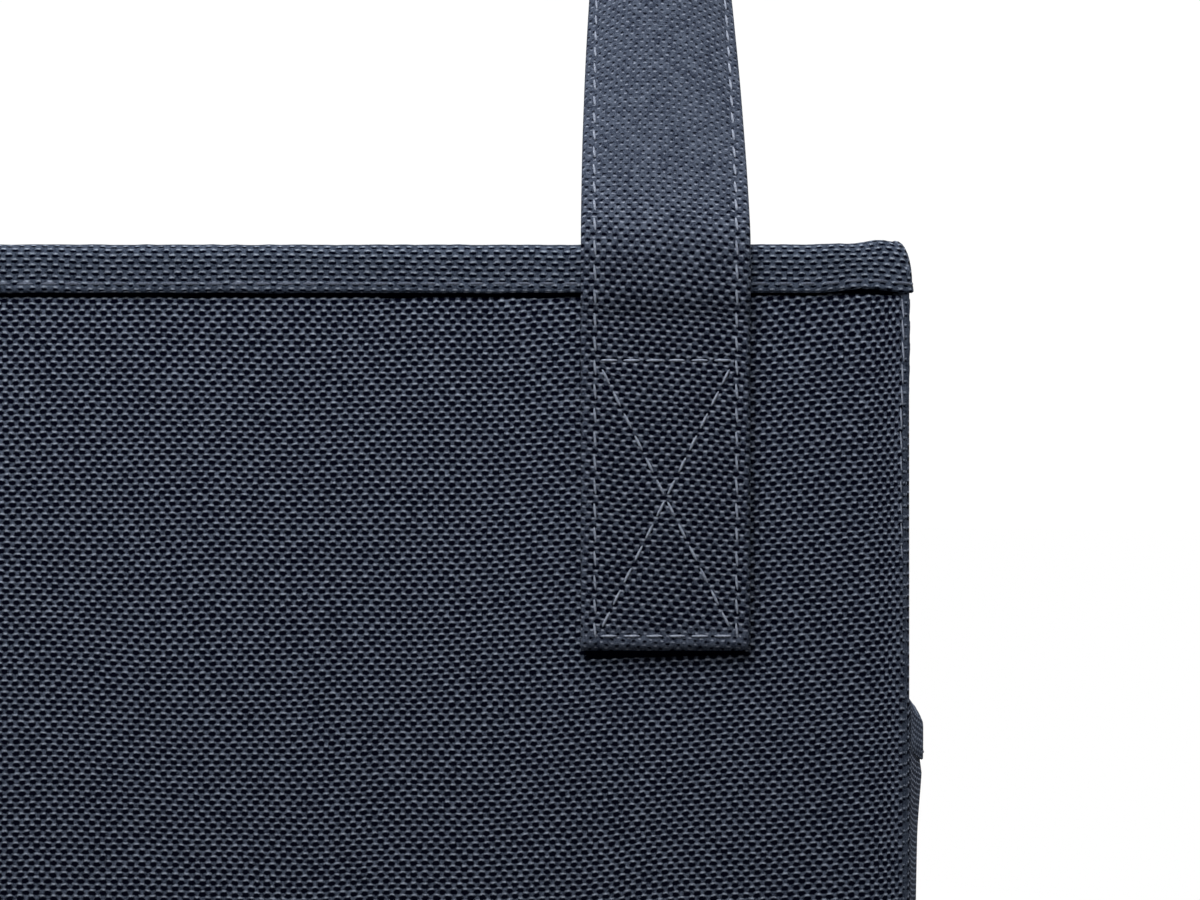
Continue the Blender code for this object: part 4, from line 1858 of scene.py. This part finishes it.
    def build(self) -> list[Station]:
        """Makes the strap, one continuous piece that bends at the rim.

        Returns:
            The strap's stations.
        """
        stations = self.stations()
        edge = self.width / 2
        round_part = [edge - self.thick / 2 * (1 - math.sin(math.pi / 2 * k / 5)) for k in range(6)]
        flat_part = spaced(-round_part[0], round_part[0], 0.75 * MM)
        crossing = [-a for a in reversed(round_part[1:])] + flat_part + round_part[1:]
        outline = [(a, -1) for a in crossing] + [(a, 1) for a in reversed(crossing[:-1])]
        us = [0.0]
        for (before, _), (after, _) in zip(outline, outline[1:]):
            us.append(us[-1] + max(abs(after - before), 0.1 * MM))
        vs = [station.along for station in stations]

        def place(i: int, j: int) -> Vector:
            """A point of the strap's outline at a station.

            Args:
                i: Which point of the outline.
                j: Which station.

            Returns:
                The point.
            """
            across, face = outline[0 if i == len(outline) - 1 else i]
            half = self.half_thick(across, stations[j], face < 0)
            return self.surface(stations[j], across, face * half)

        def press_and_painted_shadow(i: int, j: int) -> float:
            """Flat at the hem, and drawn tight above the rim and at the edges.

            Args:
                i: Which point of the outline.
                j: Which station.

            Returns:
                How tightly the strap is pressed, from 0 to 1.
            """
            across, _ = outline[i]
            station = stations[j]
            hem = 1 - ease((station.height - self.form.hem_z - 3.2 * MM) / (1.2 * MM))
            upper = 0.75 * ease((station.height - self.tight_from) / (40 * MM))
            rolled = 0.35 * ease((abs(across) - 13.4 * MM) / (1.2 * MM))
            return max(0.6 * hem, upper, rolled)

        shape = cloth_grid(us, vs, place, press_and_painted_shadow, closed=True)
        label = self.wall.label
        nodes = [f"{label}_left_strap_end", f"{label}_right_strap_end", f"{label}_handle"]
        piece = make_piece(f"{label}_carry_strap", shape, STRAP_CLOTH, Slot.WEBBING, nodes)
        self.hang(piece)
        return stations

    def hang(self, piece: bpy.types.Object) -> None:
        """Bakes a piece's transform into its mesh.

        Args:
            piece: The strap, or its stitches.
        """
        y = self.turned(Vector((0.0, -self.form.half_depth, 0.0))).y
        start, end = (0.0, y, self.bend_from), (0.0, y, self.bend_to)
        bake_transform(piece)
        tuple(start)
        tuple(end)

    def outer_track(self, stations: Sequence[Station], across: float) -> Track:
        """A track along the strap's outer face, at a distance from its middle line.

        Args:
            stations: The strap's stations.
            across: Distance from the middle line.

        Returns:
            The track.
        """
        def track(distance: float) -> tuple[Vector, Vector]:
            """The point and normal at a distance along the strap.

            Args:
                distance: How far along the strap.

            Returns:
                The point and the surface's normal.
            """
            distance = min(max(distance, stations[0].along), stations[-1].along - 1e-6)
            low, high = 0, len(stations) - 1
            while high - low > 1:
                middle = (low + high) // 2
                if stations[middle].along <= distance:
                    low = middle
                else:
                    high = middle
            before, after = stations[low], stations[high]
            share = (distance - before.along) / (after.along - before.along)
            point = self.outer_point(before, across).lerp(self.outer_point(after, across), share)
            deep = self.surface(before, across, 0.0).lerp(self.surface(after, across, 0.0), share)
            return point, (point - deep).normalized()
        return track

    def sew_edges(self, stations: Sequence[Station]) -> None:
        """Sews a row along each edge of the strap.

        Args:
            stations: The strap's stations.
        """
        shape = bmesh.new()
        for side in (-1, 1):
            track = self.outer_track(stations, side * self.edge_row)
            Stitch().sew(shape, track, 1.5 * MM, stations[-1].along - 1.5 * MM)
        self.hang(make_stitches(f"{self.wall.label}_strap_edge_stitches", shape, THREAD))


class BoxStitch:
    """The box with a cross that holds each sewn end, in thread a little lighter than the cloth."""

    half_width = 12.0 * MM
    low = 170.6 * MM
    high = 219.2 * MM

    @classmethod
    def lines(cls) -> list[tuple[Vector, Vector]]:
        """The rows of stitches, as pairs of (across, height).

        Returns:
            The ends of each row.
        """
        left, right = -cls.half_width, cls.half_width
        bottom = [Vector((left, cls.low)), Vector((right, cls.low))]
        corners = bottom + [Vector((right, cls.high)), Vector((left, cls.high))]
        inset = 0.02
        cross = [
            (corners[a].lerp(corners[b], inset), corners[a].lerp(corners[b], 1 - inset))
            for a, b in ((0, 2), (1, 3))
        ]
        return [(corners[0], corners[1]), (corners[3], corners[2])] + cross

    @classmethod
    def nearness(cls, across: float, height: float) -> float:
        """How close a place is to a row of the box, from 0 to 1, for the dimples along it.

        Args:
            across: Distance from the strap's middle line.
            height: Height on the wall.

        Returns:
            How close it is.
        """
        spot = Vector((across, height))
        nearest = 1.0
        for start, end in cls.lines():
            run = end - start
            share = min(max((spot - start).dot(run) / run.length_squared, 0.0), 1.0)
            nearest = min(nearest, (spot - start - run * share).length)
        return bump_at(nearest, 0.0, 0.8 * MM)

    @classmethod
    def sew(cls, strap: CarryStrap, stations: Sequence[Station]) -> None:
        """Sews the box and the cross on both ends of a strap.

        Args:
            strap: The strap.
            stations: Its stations.
        """
        label = strap.wall.label
        for side in (-1, 1):
            end = [s for s in stations if s.past_rim == 0.0 and s.centre.x * side > 0]
            end.sort(key=lambda s: s.height)
            shape = bmesh.new()
            for start, finish in cls.lines():
                length = (finish - start).length

                def track(distance: float) -> tuple[Vector, Vector]:
                    """Along one row, on the strap's outer face.

                    Args:
                        distance: How far along the row.

                    Returns:
                        The point and the surface's normal.
                    """
                    spot = start.lerp(finish, distance / length)
                    across = spot.x if side < 0 else -spot.x
                    index = min(max(int((spot.y - end[0].height) / (0.9 * MM)), 0), len(end) - 2)
                    while index < len(end) - 2 and end[index + 1].height < spot.y:
                        index += 1
                    low, high = end[index], end[index + 1]
                    share = (spot.y - low.height) / (high.height - low.height)
                    point = strap.outer_point(low, across).lerp(strap.outer_point(high, across), share)
                    return point, strap.turned(-low.back)

                Stitch(length=3.1 * MM, width=0.55 * MM, slant=0.0).sew(shape, track, 0.0, length)
            hand = "left" if (side < 0) == (strap.wall is Wall.FRONT) else "right"
            node = f"{label}_{hand}_box_stitch"
            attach(make_stitches(f"{node}_thread", shape, THREAD, [node]), BAG)


# -------------------------------------------------------------------------------------------------- stage

@dataclass(frozen=True)
class Studio:
    """The floor, the backdrop, the lights and the camera.

    Attributes:
        lens: The camera's lens, in millimetres.
        camera_place: Where the camera stands, level and looking along +Y.
        room_light: Strength of the even light from all round.
    """

    lens: float = 67.6
    camera_place: tuple[float, float, float] = (0.0948, -0.490, 0.2034)
    room_light: float = 0.17

    def floor(self) -> None:
        """Lays a pale floor that fades into the white round it."""
        shape = bmesh.new()
        bmesh.ops.create_circle(shape, cap_ends=True, segments=96, radius=5.5)
        material, tree, shader = start_material("pale_studio_floor")
        # Matt painted board: even, pale, without a pattern
        place = add_node(tree, "ShaderNodeTexCoord", {}).outputs["Object"]
        far = add_node(tree, "ShaderNodeVectorMath", {0: place}, operation="LENGTH").outputs["Value"]
        glow = add_node(
            tree, "ShaderNodeMapRange", {"Value": far, "From Min": 0.30, "From Max": 0.62},
            interpolation_type="SMOOTHSTEP").outputs[0]
        shader.inputs["Base Color"].default_value = to_linear("E8E8E8")
        shader.inputs["Roughness"].default_value = 0.8
        white = add_node(tree, "ShaderNodeEmission", {"Color": (1.0, 1.0, 1.0, 1.0), "Strength": 1.0})
        mixed = add_node(tree, "ShaderNodeMixShader", {0: glow, 1: shader.outputs[0], 2: white.outputs[0]})
        tree.links.new(mixed.outputs[0], tree.nodes["Material Output"].inputs["Surface"])
        floor = self.place_stage("studio_floor", shape, material)
        floor.visible_diffuse = False

    def dome(self) -> None:
        """Closes the studio with a plain white dome, which the lights ignore."""
        shape = bmesh.new()
        bmesh.ops.create_uvsphere(shape, u_segments=32, v_segments=16, radius=6.0)
        bmesh.ops.reverse_faces(shape, faces=shape.faces)
        material, _, shader = start_material("white_studio_dome")
        # Lit from within, so that it is the same white on every side
        shader.inputs["Base Color"].default_value = (0.0, 0.0, 0.0, 1.0)
        shader.inputs["Emission Color"].default_value = (1.0, 1.0, 1.0, 1.0)
        shader.inputs["Emission Strength"].default_value = 1.0
        dome = self.place_stage("studio_dome", shape, material)
        dome.visible_diffuse = False
        dome.visible_glossy = False
        dome.visible_shadow = False

    def place_stage(
        self, name: str, shape: bmesh.types.BMesh, material: bpy.types.Material,
    ) -> bpy.types.Object:
        """Makes an object that isn't part of the bag.

        Args:
            name: The object's name.
            shape: Its mesh, used up here.
            material: Its finish.

        Returns:
            The object.
        """
        mesh = bpy.data.meshes.new(name)
        shape.to_mesh(mesh)
        shape.free()
        mesh.materials.append(material)
        thing = bpy.data.objects.new(name, mesh)
        bpy.context.scene.collection.objects.link(thing)
        return thing

    def light(
        self, name: str, place: tuple[float, float, float], aim: tuple[float, float, float], size: float,
        power: float,
    ) -> None:
        """Hangs a square soft light.

        Args:
            name: The light's name.
            place: Where it hangs.
            aim: The point that it faces.
            size: Length of its sides.
            power: Its power in watts.
        """
        data = bpy.data.lights.new(name, "AREA")
        data.shape = "SQUARE"
        data.size = size
        data.energy = power
        lamp = bpy.data.objects.new(name, data)
        lamp.location = place
        lamp.rotation_euler = (Vector(aim) - Vector(place)).to_track_quat("-Z", "Y").to_euler()
        bpy.context.scene.collection.objects.link(lamp)

    def sky(self) -> None:
        """Fills the studio with a little even light."""
        world = bpy.data.worlds.new("soft_room_light")
        world.use_nodes = True
        background = world.node_tree.nodes["Background"]
        background.inputs["Color"].default_value = (1.0, 1.0, 1.0, 1.0)
        background.inputs["Strength"].default_value = self.room_light
        bpy.context.scene.world = world

    def camera(self) -> None:
        """Sets up the camera."""
        data = bpy.data.cameras.new("camera")
        data.lens = self.lens
        data.sensor_width = 36.0
        data.clip_start = 0.01
        data.clip_end = 30.0
        camera = bpy.data.objects.new("camera", data)
        camera.location = self.camera_place
        camera.rotation_euler = (math.radians(90.0), 0.0, 0.0)
        bpy.context.scene.collection.objects.link(camera)
        bpy.context.scene.camera = camera

    def build(self) -> None:
        """Sets up the studio."""
        self.floor()
        self.dome()
        self.sky()
        self.light("key_softbox", (-0.02, -0.40, 0.68), (0.05, -0.09, 0.23), 0.4, 5.5)
        self.light("back_softbox", (0.35, 0.60, 0.85), (0.0, 0.09, 0.15), 0.5, 7.5)
        self.light("right_softbox", (0.95, 0.22, 0.70), (0.15, 0.0, 0.14), 0.5, 6.0)
        self.light("left_softbox", (-0.95, 0.22, 0.70), (-0.15, 0.0, 0.14), 0.5, 6.0)
        bpy.context.scene.view_settings.view_transform = "Standard"
        self.camera()


def main() -> None:
    """Builds every piece of the bag, in order."""
    logging.basicConfig(level=logging.INFO, format="%(name)s: %(message)s")
    _, wall_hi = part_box("right_panel")
    front_lo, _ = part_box("front_panel")
    rim_lo, rim_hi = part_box("rim_binding")
    form = BagForm(wall_hi.x, -front_lo.y, front_lo.z, rim_lo.z, rim_hi.z)
    walls = Walls(form)
    walls.build()
    walls.dress_boards()
    log.info("walls, linings and base laid")
    Seams(form).build()
    log.info("corner and base seams rolled")
    RimBinding(form).build()
    log.info("rim binding folded")
    SidePockets(form).build()
    log.info("side pockets hung")
    InnerPockets(form).build()
    log.info("inner pockets hung")
    for wall in (Wall.FRONT, Wall.BACK):
        strap = CarryStrap(form, wall)
        stations = strap.build()
        strap.sew_edges(stations)
        BoxStitch.sew(strap, stations)
        log.info("%s strap sewn on", wall.label)
    Studio().build()
    log.info("studio set")


if __name__ == "__main__":
    main()
